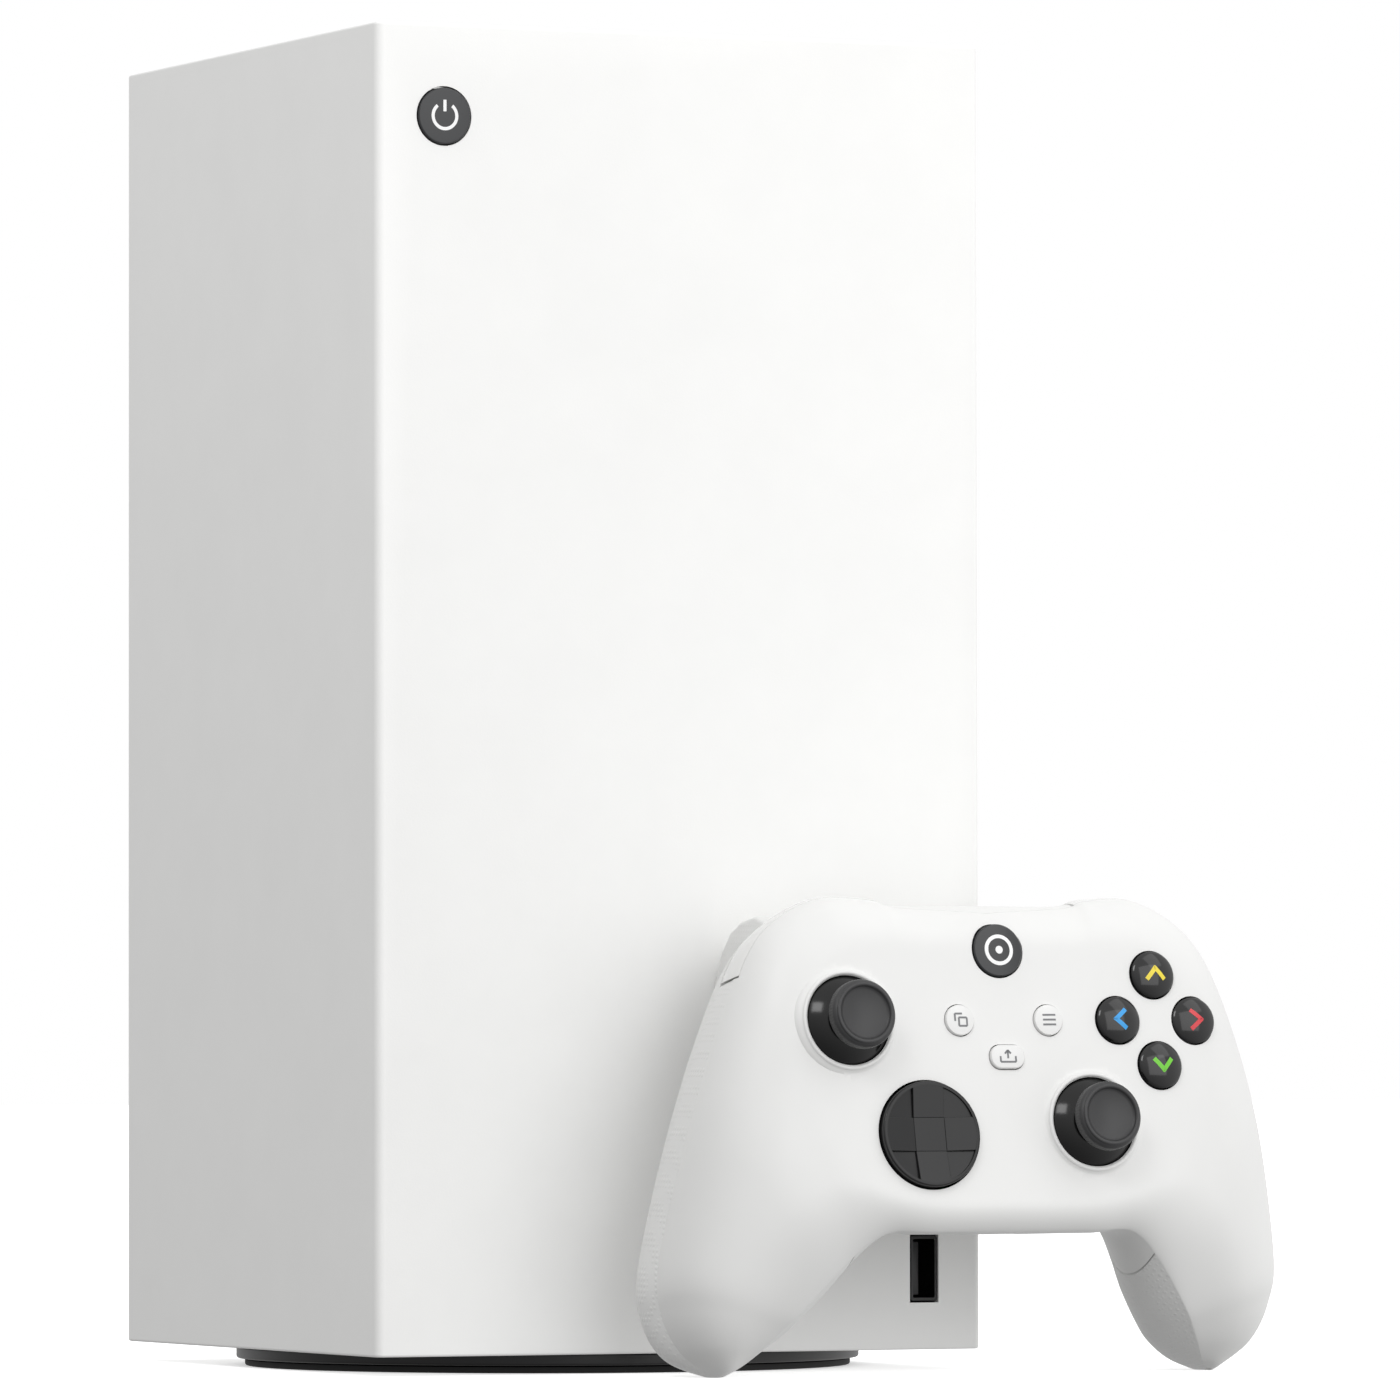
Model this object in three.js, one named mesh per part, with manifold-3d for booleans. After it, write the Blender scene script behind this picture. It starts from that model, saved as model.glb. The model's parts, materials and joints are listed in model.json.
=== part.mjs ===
// Upright game console with a wireless controller leaning against its front.
// Millimetres, +Z up. Origin: centre of the console's foot, on the surface that it stands on.
// The console's front faces -Y. The controller has its own frame inside the "pad" group:
// x to its right hand side, y up towards the bumpers, z out of its face.
import * as THREE from "three";
import { mergeVertices } from "three/addons/utils/BufferGeometryUtils.js";
import Module from "manifold-3d";

const wasm = await Module();
wasm.setup();

// ---------------------------------------------------------------- driving dimensions
const GAP = 0.35; // between pieces that rest on or beside each other

// console
const WIDTH = 151; // across the front
const DEPTH = 151; // front to back
const BODY_HEIGHT = 300; // casing only
const FOOT_HEIGHT = 4.5; // casing's clearance above the shelf
const CORNER = 2; // radius of the casing's upright edges
const WALL = 2.6; // casing wall
const HALF = Math.min(WIDTH, DEPTH) / 2; // room for what is round
const FOOT_MARGIN = 3; // from the casing's sides to the foot
const FOOT_RADIUS = HALF - FOOT_MARGIN;
const PAD_MARGIN = 2; // from the foot's rim to its rubber sole
const PAD_RADIUS = FOOT_RADIUS - PAD_MARGIN;
const PAD_THICK = 1.4;
const GRILLE_MARGIN = 7.5; // from the casing's sides to the grille
const GRILLE_RADIUS = HALF - GRILLE_MARGIN;
const GRILLE_DISH = 7; // how far the middle of the grille lies below its rim
const GRILLE_THICK = 2.6;
const GRILLE_PITCH = 19; // spacing of the air holes
const GRILLE_HOLE = 7.4; // radius of one air hole
const COVER_THICK = 2.4; // rear cover
const POWER_RADIUS = 6.4;
const POWER_SIDE = 16.6; // centre of the power button, from the casing's left side
const POWER_DROP = 20.8; // below the casing's top
const POWER_TRAVEL = 0.8;
const USB_SIDE = 14.6; // front data socket, from the casing's right side
const USB_RISE = 18.6; // above the casing's bottom
const SYNC_RISE = 22.9; // sync button above the data socket
const SYNC_RADIUS = 2.6;
const FAN_MARGIN = 15.5; // from the casing's sides to the fan's housing
const FAN_RADIUS = HALF - FAN_MARGIN;
const FAN_BLADES = 7;

// controller
const LEAN = THREE.MathUtils.degToRad(11); // how far it leans back
const PAD_X = 54.2; // middle of the controller, from the console's middle
const SHELL = 2; // wall of both controller shells
const STICKS = { left: [-38.7, 0], right: [20.3, -23.3] };
const DPAD_X = -21;
const DPAD_Y = -26;
const DPAD_RADIUS = 12;
const PIVOT_Z = -11; // stick pivot below the face
const DOME_RADIUS = 15.2; // round skirt of a stick, about its pivot
const DOME_HALF_ANGLE = THREE.MathUtils.degToRad(66);
const CAP_RADIUS = 7.8; // thumb rest
const CAP_TOP = 9.8; // thumb rest's rim above the face
const STICK_GAP = 0.7; // round a stick's skirt
const STICK_HOLE = Math.sqrt((DOME_RADIUS + STICK_GAP) ** 2 - PIVOT_Z ** 2); // at the face
const COLLAR_RADIUS = STICK_HOLE + 1; // raised ring round each stick
const COLLAR_RISE = 1.1;
const DIAMOND_X = 38.4; // middle of the button diamond
const DIAMOND = [9.7, 10.4]; // from there to each button's centre, across and up
const BUTTON_RADIUS = 5.3;
const BUTTON_RISE = 2.2;
const BUTTON_TRAVEL = 1.5;
const GUIDE_Y = 16;
const GUIDE_RADIUS = 6;
const SMALL_X = 11.1; // view and menu buttons, left and right of the middle
const SMALL_RADIUS = 3.5;
const SHARE_Y = -8.4;
const SHARE_WIDTH = 8.4;
const SHARE_HEIGHT = 5.4;
const BRIDGE_HALF = 23.6; // half length of the piece between the bumpers
const BUMPER_BACK = -20.6; // rear face of the bumpers
const BUMPER_LOW = 12; // how far down the body's sides the bumpers' room reaches
const BUMPER_PRESS = 0.7; // room under a bumper's outer end, for its travel
const TRIGGER_IN = 29.8; // a trigger's inner and outer sides
const TRIGGER_OUT = 46.8;
const BOARD_Z = -18.4; // front face of the controller's circuit board
const BOARD_THICK = 1.2;
const CELL_RADIUS = 7; // one battery
const CELL_LENGTH = 49;
const CELL_SPACING = 2 * CELL_RADIUS + 0.9;
const CELL_Z = BOARD_Z - BOARD_THICK - 1.3 - CELL_RADIUS; // 1.3 mm behind the board
const DOOR_THICK = 1.8;
const DOOR_LIP = 0.3; // inner rim of the door, past its panel
const REAR_Z = CELL_Z - CELL_RADIUS - 0.4 - DOOR_LIP - DOOR_THICK; // outer face of the battery door
const DOOR_Y = -7.2; // middle of the door
const DOOR_HALF_WIDTH = CELL_LENGTH / 2 + 3;
const DOOR_HALF_HEIGHT = CELL_SPACING / 2 + CELL_RADIUS + 5.35;
const DOOR_LOW = DOOR_Y - DOOR_HALF_HEIGHT;
const DOOR_HIGH = DOOR_Y + DOOR_HALF_HEIGHT;

// ---------------------------------------------------------------- solids
const V = (x = 0, y = 0, z = 0) => new THREE.Vector3(x, y, z);

function signedVolume(points, faces) {
  let sum = 0;
  const [a, b, c] = [V(), V(), V()];
  for (let i = 0; i < faces.length; i += 3) {
    [a, b, c].forEach((v, k) => v.fromArray(points, 3 * faces[i + k]));
    sum += a.dot(b.cross(c));
  }
  return sum;
}

function solid(geometry) {
  const bare = (geometry.index ? geometry.toNonIndexed() : geometry).clone();
  for (const name of Object.keys(bare.attributes)) if (name !== "position") bare.deleteAttribute(name);
  const merged = mergeVertices(bare, 1e-3);
  const vertProperties = merged.attributes.position.array;
  const triVerts = new Uint32Array(merged.index.array);
  if (signedVolume(vertProperties, triVerts) < 0) triVerts.reverse();
  return new wasm.Manifold(new wasm.Mesh({ numProp: 3, vertProperties, triVerts }));
}

function geometryOf(body) {
  const mesh = body.getMesh();
  return new THREE.BufferGeometry()
    .setAttribute("position", new THREE.BufferAttribute(mesh.vertProperties, 3))
    .setIndex(new THREE.BufferAttribute(mesh.triVerts, 1))
    .toNonIndexed();
}

// A block between two corners.
function block(low, high) {
  const size = [0, 1, 2].map((k) => high[k] - low[k]);
  return solid(
    new THREE.BoxGeometry(...size).translate(...[0, 1, 2].map((k) => (low[k] + high[k]) / 2)),
  );
}

// A round bar from one point along x, y or z.
function bar(radius, length, from, axis = "z", sides = 20, endRadius = radius) {
  const shape = new THREE.CylinderGeometry(endRadius, radius, length, sides).translate(0, length / 2, 0);
  if (axis === "z") shape.rotateX(Math.PI / 2);
  if (axis === "x") shape.rotateZ(-Math.PI / 2);
  return solid(shape.translate(...from));
}

// A closed profile of [radius, height] points turned about z. Points run anticlockwise.
function turned(profile, sides = 24) {
  const points = profile.map(([r, h]) => new THREE.Vector2(Math.max(r, 0), h));
  if (profile[0][0] > 0) points.push(points[0].clone());
  return solid(new THREE.LatheGeometry(points, sides).rotateX(Math.PI / 2));
}

// A flat outline of [x, y] points pushed from z = low to z = high.
function plate(outline, low, high, holes = []) {
  const shape = new THREE.Shape(outline.map(([x, y]) => new THREE.Vector2(x, y)));
  for (const hole of holes) shape.holes.push(new THREE.Path(hole.map(([x, y]) => new THREE.Vector2(x, y))));
  const made = new THREE.ExtrudeGeometry(shape, { depth: high - low, bevelEnabled: false, steps: 1 });
  return solid(made.translate(0, 0, low));
}

function circle(radius, x = 0, y = 0, sides = 24) {
  return Array.from({ length: sides }, (_, i) => {
    const a = (2 * Math.PI * i) / sides;
    return [x + radius * Math.cos(a), y + radius * Math.sin(a)];
  });
}

// A rectangle with round corners, centred on x, y.
function rounded(width, height, radius, x = 0, y = 0, steps = 3) {
  const points = [];
  const corners = [[1, 1], [-1, 1], [-1, -1], [1, -1]];
  corners.forEach(([sx, sy], quarter) => {
    for (let i = 0; i <= steps; i++) {
      const a = (Math.PI / 2) * (quarter + i / steps);
      points.push([
        x + sx * (width / 2 - radius) + radius * Math.cos(a),
        y + sy * (height / 2 - radius) + radius * Math.sin(a),
      ]);
    }
  });
  return points;
}

const turn = (body, x = 0, y = 0, z = 0) => body.rotate([x, y, z]);
const move = (body, x = 0, y = 0, z = 0) => body.translate([x, y, z]);
const joined = (...bodies) => bodies.reduce((a, b) => a.add(b));
const cut = (body, ...tools) => tools.reduce((a, b) => a.subtract(b), body);
const mirrored = (body) => body.mirror([1, 0, 0]);

// ---------------------------------------------------------------- colours
const paint = (color, roughness, metalness = 0) =>
  new THREE.MeshStandardMaterial({ color, roughness, metalness });
const finish = {
  white: paint(0xf1f1ef, 0.55),
  shell: paint(0xeeeeec, 0.5),
  black: paint(0x141414, 0.45),
  glossBlack: paint(0x0c0c0d, 0.12),
  rubber: paint(0x1b1b1b, 0.85),
  steel: paint(0xb8babd, 0.3, 1),
  aluminium: paint(0xa9abad, 0.4, 1),
  copper: paint(0xb87333, 0.35, 1),
  board: paint(0x16432c, 0.6),
  grey: paint(0x4b4d50, 0.6),
  cell: paint(0x2f3133, 0.4),
};

const object = new THREE.Group();
const pad = new THREE.Group();
pad.rotation.x = Math.PI / 2 - LEAN;
object.add(pad);

function piece(group, name, body, material) {
  const mesh = new THREE.Mesh(geometryOf(body), material);
  mesh.name = name;
  group.add(mesh);
  return mesh;
}

// ================================================================ console
const FRONT = -DEPTH / 2;
const BACK = DEPTH / 2;
const LOW = FOOT_HEIGHT;
const HIGH = FOOT_HEIGHT + BODY_HEIGHT;
const INNER = WIDTH / 2 - WALL; // half width of the room inside the casing
const POWER_X = POWER_SIDE - WIDTH / 2;
const POWER_Z = HIGH - POWER_DROP;
const USB_X = WIDTH / 2 - USB_SIDE;
const USB_Z = LOW + USB_RISE;
const SYNC_Z = USB_Z + SYNC_RISE;
const USB_WIDTH = 6.6; // outside of the front socket, which stands upright
const USB_LENGTH = 15;
const USB_DEEP = 15;
const COVER_FRONT = BACK - COVER_THICK - 1; // the rear cover sits 1 mm inside the casing's edge
const FAN_Z = HIGH - GRILLE_DISH - GRILLE_THICK - 31; // underside of the fan
const CHASSIS_X = -8; // central frame, between the two circuit boards
const CHASSIS_THICK = 4;
const STACK_LOW = LOW + WALL + 8; // lowest part of the inner stack
const STACK_HIGH = FAN_Z - 4;
const STACK_FRONT = FRONT + USB_DEEP + 2; // behind the front socket
const STACK_BACK = COVER_FRONT - 20;

function consoleCasing() {
  let body = plate(rounded(WIDTH, DEPTH, CORNER), LOW, HIGH);
  body = cut(
    body,
    block([-INNER, FRONT + WALL, LOW + WALL], [INNER, BACK + 1, HIGH - WALL]),
    bar(GRILLE_RADIUS + GAP, 20, [0, 0, HIGH - 10], "z", 36),
    bar(POWER_RADIUS + GAP, 10, [POWER_X, FRONT - 2, POWER_Z], "y", 28),
    bar(SYNC_RADIUS + GAP, 10, [USB_X, FRONT - 2, SYNC_Z], "y", 20),
    block(
      [USB_X - USB_WIDTH / 2 - GAP, FRONT - 2, USB_Z - USB_LENGTH / 2 - GAP],
      [USB_X + USB_WIDTH / 2 + GAP, FRONT + 8, USB_Z + USB_LENGTH / 2 + GAP],
    ),
    bar(FOOT_RADIUS - 16 + GAP, 12, [0, 0, LOW - 5], "z", 32),
  );
  // a ledge inside the open back that the rear cover screws onto
  for (const side of [-1, 1]) {
    const ledge = block(
      [Math.min(side * INNER, side * (INNER - 9)), COVER_FRONT - 12, HIGH - WALL - 9],
      [Math.max(side * INNER, side * (INNER - 9)), COVER_FRONT - GAP, HIGH - WALL],
    );
    body = joined(body, cut(ledge, bar(1.5, 30, [side * (INNER - 4.5), COVER_FRONT - 20, HIGH - WALL - 4.5], "y", 12)));
  }
  return body;
}

function topGrille() {
  const rings = 2;
  const dish = (r) => HIGH - GRILLE_DISH * (1 - (r / GRILLE_RADIUS) ** 2);
  const radii = Array.from({ length: rings + 1 }, (_, i) => (GRILLE_RADIUS * i) / rings);
  const under = radii.map((r) => [r, dish(r) - GRILLE_THICK]);
  const over = radii.map((r) => [r, dish(r)]).reverse();
  let body = turned([...under, ...over], 30);
  const half = Math.floor(GRILLE_RADIUS / GRILLE_PITCH);
  const holes = [];
  for (let i = -half; i <= half; i++)
    for (let j = -half; j <= half; j++) {
      const x = i * GRILLE_PITCH;
      const y = j * GRILLE_PITCH;
      if (Math.hypot(x, y) + GRILLE_HOLE + 1.6 < GRILLE_RADIUS) holes.push(bar(GRILLE_HOLE, 40, [x, y, HIGH - 25], "z", 6));
    }
  return cut(body, wasm.Manifold.union(holes));
}

const SOCKET_X = WIDTH / 2 - 37.5; // the column of sockets in the rear cover
// Rear sockets: [name, x, z, width, height, depth] of the hole that each one shows in the cover.
const REAR_SOCKETS = [
  ["video_socket", SOCKET_X, LOW + 92, 15.6, 6.6, 13],
  ["data_sockets_rear", SOCKET_X, LOW + 66, 15.2, 16.4, 16],
  ["network_socket", SOCKET_X, LOW + 40, 16.4, 14.4, 18],
  ["power_inlet", SOCKET_X + 6, LOW + 16.5, 24, 17, 20],
  ["expansion_slot", SOCKET_X - 34, LOW + 66, 35, 11.2, 18],
];

// wide air slots in the rear cover, above the sockets
const SLOT_WIDTH = WIDTH - 2 * 14.5;
const SLOT_HEIGHT = 12;
const SLOT_PITCH = 26;
const SLOT_RISE = 124; // the lowest slot above the casing's bottom
const SLOT_ROWS = Math.floor((BODY_HEIGHT - SLOT_RISE - 16) / SLOT_PITCH);
const FIRST_SLOT_Z = LOW + SLOT_RISE;

function rearCover() {
  const width = 2 * INNER - 2 * GAP;
  const low = LOW + WALL + GAP;
  const high = HIGH - WALL - GAP;
  const holes = REAR_SOCKETS.map(([, x, z, w, h]) => rounded(w + 2 * GAP, h + 2 * GAP, 0.6, x, z, 1));
  for (const side of [-1, 1]) holes.push(circle(1.8, side * (INNER - 4.5), HIGH - WALL - 4.5, 12));
  for (let row = 0; row < SLOT_ROWS; row++)
    holes.push(rounded(SLOT_WIDTH, SLOT_HEIGHT, 2.5, 0, FIRST_SLOT_Z + row * SLOT_PITCH, 1));
  const flat = plate(rounded(width, high - low, 1.5, 0, (low + high) / 2), 0, COVER_THICK, holes);
  return move(turn(flat, 90), 0, COVER_FRONT + COVER_THICK, 0);
}

function foot() {
  const neck = FOOT_RADIUS - 16;
  return turned(
    [
      [30, PAD_THICK + GAP],
      [FOOT_RADIUS - 0.6, PAD_THICK + GAP],
      [FOOT_RADIUS, PAD_THICK + GAP + 0.6],
      [FOOT_RADIUS, LOW - GAP - 0.4],
      [FOOT_RADIUS - 0.4, LOW - GAP],
      [neck, LOW - GAP],
      [neck, LOW + WALL + 2],
      [neck - 3, LOW + WALL + 2],
      [neck - 3, LOW - 1],
      [30, LOW - 1],
    ],
    30,
  );
}

function footPad() {
  return turned([[0, 0], [PAD_RADIUS - 0.6, 0], [PAD_RADIUS, 0.5], [PAD_RADIUS, PAD_THICK], [0, PAD_THICK]], 30);
}

// A push button on the console's front: a round cap that stands a little proud, on a thinner stem.
function frontButton(radius, x, z, proud) {
  const cap = turned(
    [
      [0, -6],
      [radius * 0.45, -6],
      [radius * 0.45, -2.5],
      [radius, -2.5],
      [radius, proud - 0.3],
      [radius - 0.3, proud],
      [0, proud],
    ],
    28,
  );
  return move(turn(cap, 90), x, FRONT, z);
}

// An upright data socket: a shell with a tongue inside, closed at its back.
function frontSocket() {
  const w = USB_WIDTH;
  const l = USB_LENGTH;
  const shell = block([USB_X - w / 2, FRONT + 0.3, USB_Z - l / 2], [USB_X + w / 2, FRONT + USB_DEEP, USB_Z + l / 2]);
  const mouth = block(
    [USB_X - w / 2 + 0.5, FRONT - 1, USB_Z - l / 2 + 0.7],
    [USB_X + w / 2 - 0.5, FRONT + USB_DEEP - 2, USB_Z + l / 2 - 0.7],
  );
  const tongue = block(
    [USB_X - w / 2 + 0.9, FRONT + 1.4, USB_Z - l / 2 + 1.4],
    [USB_X - w / 2 + 2.5, FRONT + USB_DEEP - 1, USB_Z + l / 2 - 1.4],
  );
  return joined(cut(shell, mouth), tongue);
}

// A rear socket: a box with its mouth at the rear cover, and what stands inside the mouth.
function rearSocket(x, z, width, height, depth, inside = []) {
  const face = COVER_FRONT + COVER_THICK - 0.2;
  const shell = block([x - width / 2, face - depth, z - height / 2], [x + width / 2, face, z + height / 2]);
  const wall = 1;
  const mouth = block(
    [x - width / 2 + wall, face - depth + 2, z - height / 2 + wall],
    [x + width / 2 - wall, face + 1, z + height / 2 - wall],
  );
  return joined(cut(shell, mouth), ...inside.map((make) => make(x, z, face, depth)));
}

const tongue = (width, height, dz = 0) => (x, z, face, depth) =>
  block([x - width / 2, face - depth + 1, z + dz - height / 2], [x + width / 2, face - 1.5, z + dz + height / 2]);
const pin = (dx, radius) => (x, z, face, depth) => bar(radius, depth - 3, [x + dx, face - depth + 1, z], "y", 12);
const divider = (thick, dz = 0) => (x, z, face, depth) =>
  block([x - 7.2, face - depth + 1, z + dz - thick / 2], [x + 7.2, face - 0.2, z + dz + thick / 2]);
const SOCKET_INSIDES = {
  video_socket: [tongue(11, 1.6)],
  data_sockets_rear: [divider(1.6), tongue(11.4, 1.8, 5.4), tongue(11.4, 1.8, -2.4)],
  network_socket: [],
  power_inlet: [pin(-4.3, 1.2), pin(4.3, 1.2)],
  expansion_slot: [],
};

function chassis() {
  const half = CHASSIS_THICK / 2;
  const shelfLow = STACK_HIGH - 3;
  let body = joined(
    block([CHASSIS_X - half, STACK_FRONT, STACK_LOW], [CHASSIS_X + half, STACK_BACK, STACK_HIGH]),
    block([-INNER + 1.5, STACK_FRONT, shelfLow], [INNER - 1.5, STACK_BACK, STACK_HIGH]),
    block([-INNER + 1.5, STACK_FRONT, STACK_LOW], [INNER - 1.5, STACK_BACK, STACK_LOW + 3]),
  );
  for (const z of [STACK_LOW + 60, STACK_LOW + 120])
    body = joined(body, block([CHASSIS_X - half - 3, STACK_FRONT + 4, z], [CHASSIS_X + half + 3, STACK_BACK - 4, z + 3]));
  return cut(
    body,
    bar(FAN_RADIUS - 8, 10, [0, (STACK_FRONT + STACK_BACK) / 2, shelfLow - 4], "z", 32),
    bar(FAN_RADIUS - 12, 10, [0, (STACK_FRONT + STACK_BACK) / 2, STACK_LOW - 4], "z", 32),
  );
}

const MAIN_BOARD_X = CHASSIS_X + CHASSIS_THICK / 2 + 6; // its left face
const IO_BOARD_X = CHASSIS_X - CHASSIS_THICK / 2 - 6; // its right face
const BOARD_LOW = STACK_LOW + 6;
const BOARD_HIGH = STACK_HIGH - 8;

function mainBoard() {
  const front = STACK_FRONT + 3;
  const back = STACK_BACK - 3;
  const face = MAIN_BOARD_X + 1.6;
  const middle = (front + back) / 2;
  const chip = (dy, dz, size, high) =>
    block([face - 0.4, middle + dy - size / 2, BOARD_LOW + dz - size / 2], [face + high, middle + dy + size / 2, BOARD_LOW + dz + size / 2]);
  let body = joined(
    block([MAIN_BOARD_X, front, BOARD_LOW], [face, back, BOARD_HIGH]),
    chip(0, 118, 32, 2.4),
    chip(-34, 118, 12, 1.2),
    chip(34, 118, 12, 1.2),
    chip(-34, 98, 12, 1.2),
    chip(34, 98, 12, 1.2),
  );
  return cut(body, bar(2, 10, [MAIN_BOARD_X - 4, front + 6, BOARD_LOW + 6], "x", 10), bar(2, 10, [MAIN_BOARD_X - 4, back - 6, BOARD_HIGH - 6], "x", 10));
}

function heatsink() {
  const base = MAIN_BOARD_X + 1.6 + 2.4 + GAP;
  const thick = 6;
  const fins = 13;
  const front = STACK_FRONT + 10;
  const span = STACK_BACK - STACK_FRONT - 20;
  const fin = 1.6;
  const tip = INNER - 4;
  const points = [[base, front], [tip, front]];
  for (let i = 0; i < fins; i++) {
    const y = front + (i * (span - fin)) / (fins - 1);
    if (i) points.push([base + thick, y], [tip, y]);
    points.push([tip, y + fin], i < fins - 1 ? [base + thick, y + fin] : [base, y + fin]);
  }
  return plate(points, BOARD_LOW + 62, BOARD_HIGH - 6);
}

function ioBoard() {
  const front = STACK_FRONT + 3;
  const back = STACK_BACK - 3;
  const face = IO_BOARD_X - 1.6;
  return joined(
    block([face, front, BOARD_LOW], [IO_BOARD_X, back, BOARD_HIGH]),
    block([face - 3, front + 12, BOARD_LOW + 12], [face + 0.4, front + 34, BOARD_LOW + 44]), // storage card
    block([face - 1.6, back - 50, BOARD_LOW + 20], [face + 0.4, back - 30, BOARD_LOW + 40]),
    block([face - 8, back - 16, BOARD_LOW + 10], [face + 0.4, back - 2, BOARD_LOW + 30]),
  );
}

function powerSupply() {
  const low = [-INNER + 3, STACK_FRONT + 8, STACK_LOW + 64];
  const high = [IO_BOARD_X - 6, STACK_BACK - 10, STACK_HIGH - 10];
  let body = block(low, high);
  body = cut(body, block([low[0] + 1.6, low[1] + 1.6, low[2] - 1], [high[0] - 1.6, high[1] - 1.6, high[2] - 1.6]));
  for (let i = 0; i < 7; i++)
    body = cut(body, block([low[0] - 1, low[1] + 10 + i * 12, high[2] - 40], [low[0] + 3, low[1] + 15 + i * 12, high[2] - 12]));
  return body;
}

const FAN_Y = (STACK_FRONT + STACK_BACK) / 2;
const FAN_HEIGHT = 24;

function fanHousing() {
  const ring = move(
    turned(
      [[FAN_RADIUS - 2, 0], [FAN_RADIUS, 0], [FAN_RADIUS, FAN_HEIGHT], [FAN_RADIUS - 2, FAN_HEIGHT]],
      28,
    ),
    0, FAN_Y, FAN_Z,
  );
  const hub = bar(15, 2.4, [0, FAN_Y, FAN_Z], "z", 20);
  const spokes = [0, 90, 180, 270].map((a) =>
    move(turn(block([12, -2, 0], [FAN_RADIUS - 1, 2, 2.4]), 0, 0, a + 45), 0, FAN_Y, FAN_Z),
  );
  const axle = bar(2, 8, [0, FAN_Y, FAN_Z + 1], "z", 12);
  return joined(ring, hub, ...spokes, axle);
}

function fanRotor() {
  const low = FAN_Z + 2.4 + 1;
  const hub = cut(
    bar(19, FAN_HEIGHT - 5, [0, FAN_Y, low], "z", 18),
    bar(17.3, FAN_HEIGHT - 7, [0, FAN_Y, low - 1], "z", 18),
  );
  const boss = cut(bar(4, FAN_HEIGHT - 6, [0, FAN_Y, low + 0.5], "z", 12), bar(2.3, FAN_HEIGHT - 10, [0, FAN_Y, low - 1], "z", 12));
  const room = bar(FAN_RADIUS - 2.8, FAN_HEIGHT - 6, [0, FAN_Y, low + 0.4], "z", 24);
  const blades = Array.from({ length: FAN_BLADES }, (_, i) => {
    const flat = turn(block([18, -15, -0.8], [FAN_RADIUS, 15, 0.8]), 38);
    return move(turn(flat, 0, 0, (360 * i) / FAN_BLADES), 0, FAN_Y, low + FAN_HEIGHT / 2 - 3);
  });
  const core = bar(18, 60, [0, FAN_Y, low - 20], "z", 18);
  return joined(hub, boss, ...blades.map((blade) => cut(blade.intersect(room), core)));
}

function rearScrew(side) {
  const y = COVER_FRONT;
  const x = side * (INNER - 4.5);
  const z = HIGH - WALL - 4.5;
  const body = joined(
    bar(2.9, 1.4, [x, y + COVER_THICK + GAP, z], "y", 16),
    bar(1.1, 10, [x, y + COVER_THICK + GAP - 9.5, z], "y", 10),
  );
  return cut(body, bar(1.2, 2, [x, y + COVER_THICK + GAP + 0.7, z], "y", 6));
}

piece(object, "casing", consoleCasing(), finish.white);
piece(object, "top_grille", topGrille(), finish.white);
piece(object, "rear_cover", rearCover(), finish.white);
piece(object, "foot", foot(), finish.black);
piece(object, "foot_pad", footPad(), finish.rubber);
piece(object, "power_button", frontButton(POWER_RADIUS, POWER_X, POWER_Z, 0.5), finish.grey);
piece(object, "sync_button", frontButton(SYNC_RADIUS, USB_X, SYNC_Z, 0.4), finish.white);
piece(object, "data_socket_front", frontSocket(), finish.black);
piece(object, "chassis", chassis(), finish.aluminium);
piece(object, "heatsink", heatsink(), finish.aluminium);
piece(object, "main_board", mainBoard(), finish.board);
piece(object, "io_board", ioBoard(), finish.board);
piece(object, "power_supply", powerSupply(), finish.steel);
piece(object, "fan_housing", fanHousing(), finish.black);
piece(object, "fan_rotor", fanRotor(), finish.black);
for (const [name, x, z, w, h, d] of REAR_SOCKETS)
  piece(object, name, rearSocket(x, z, w, h, d, SOCKET_INSIDES[name]), finish.steel);
piece(object, "rear_screw_left", rearScrew(1), finish.steel);
piece(object, "rear_screw_right", rearScrew(-1), finish.steel);

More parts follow.
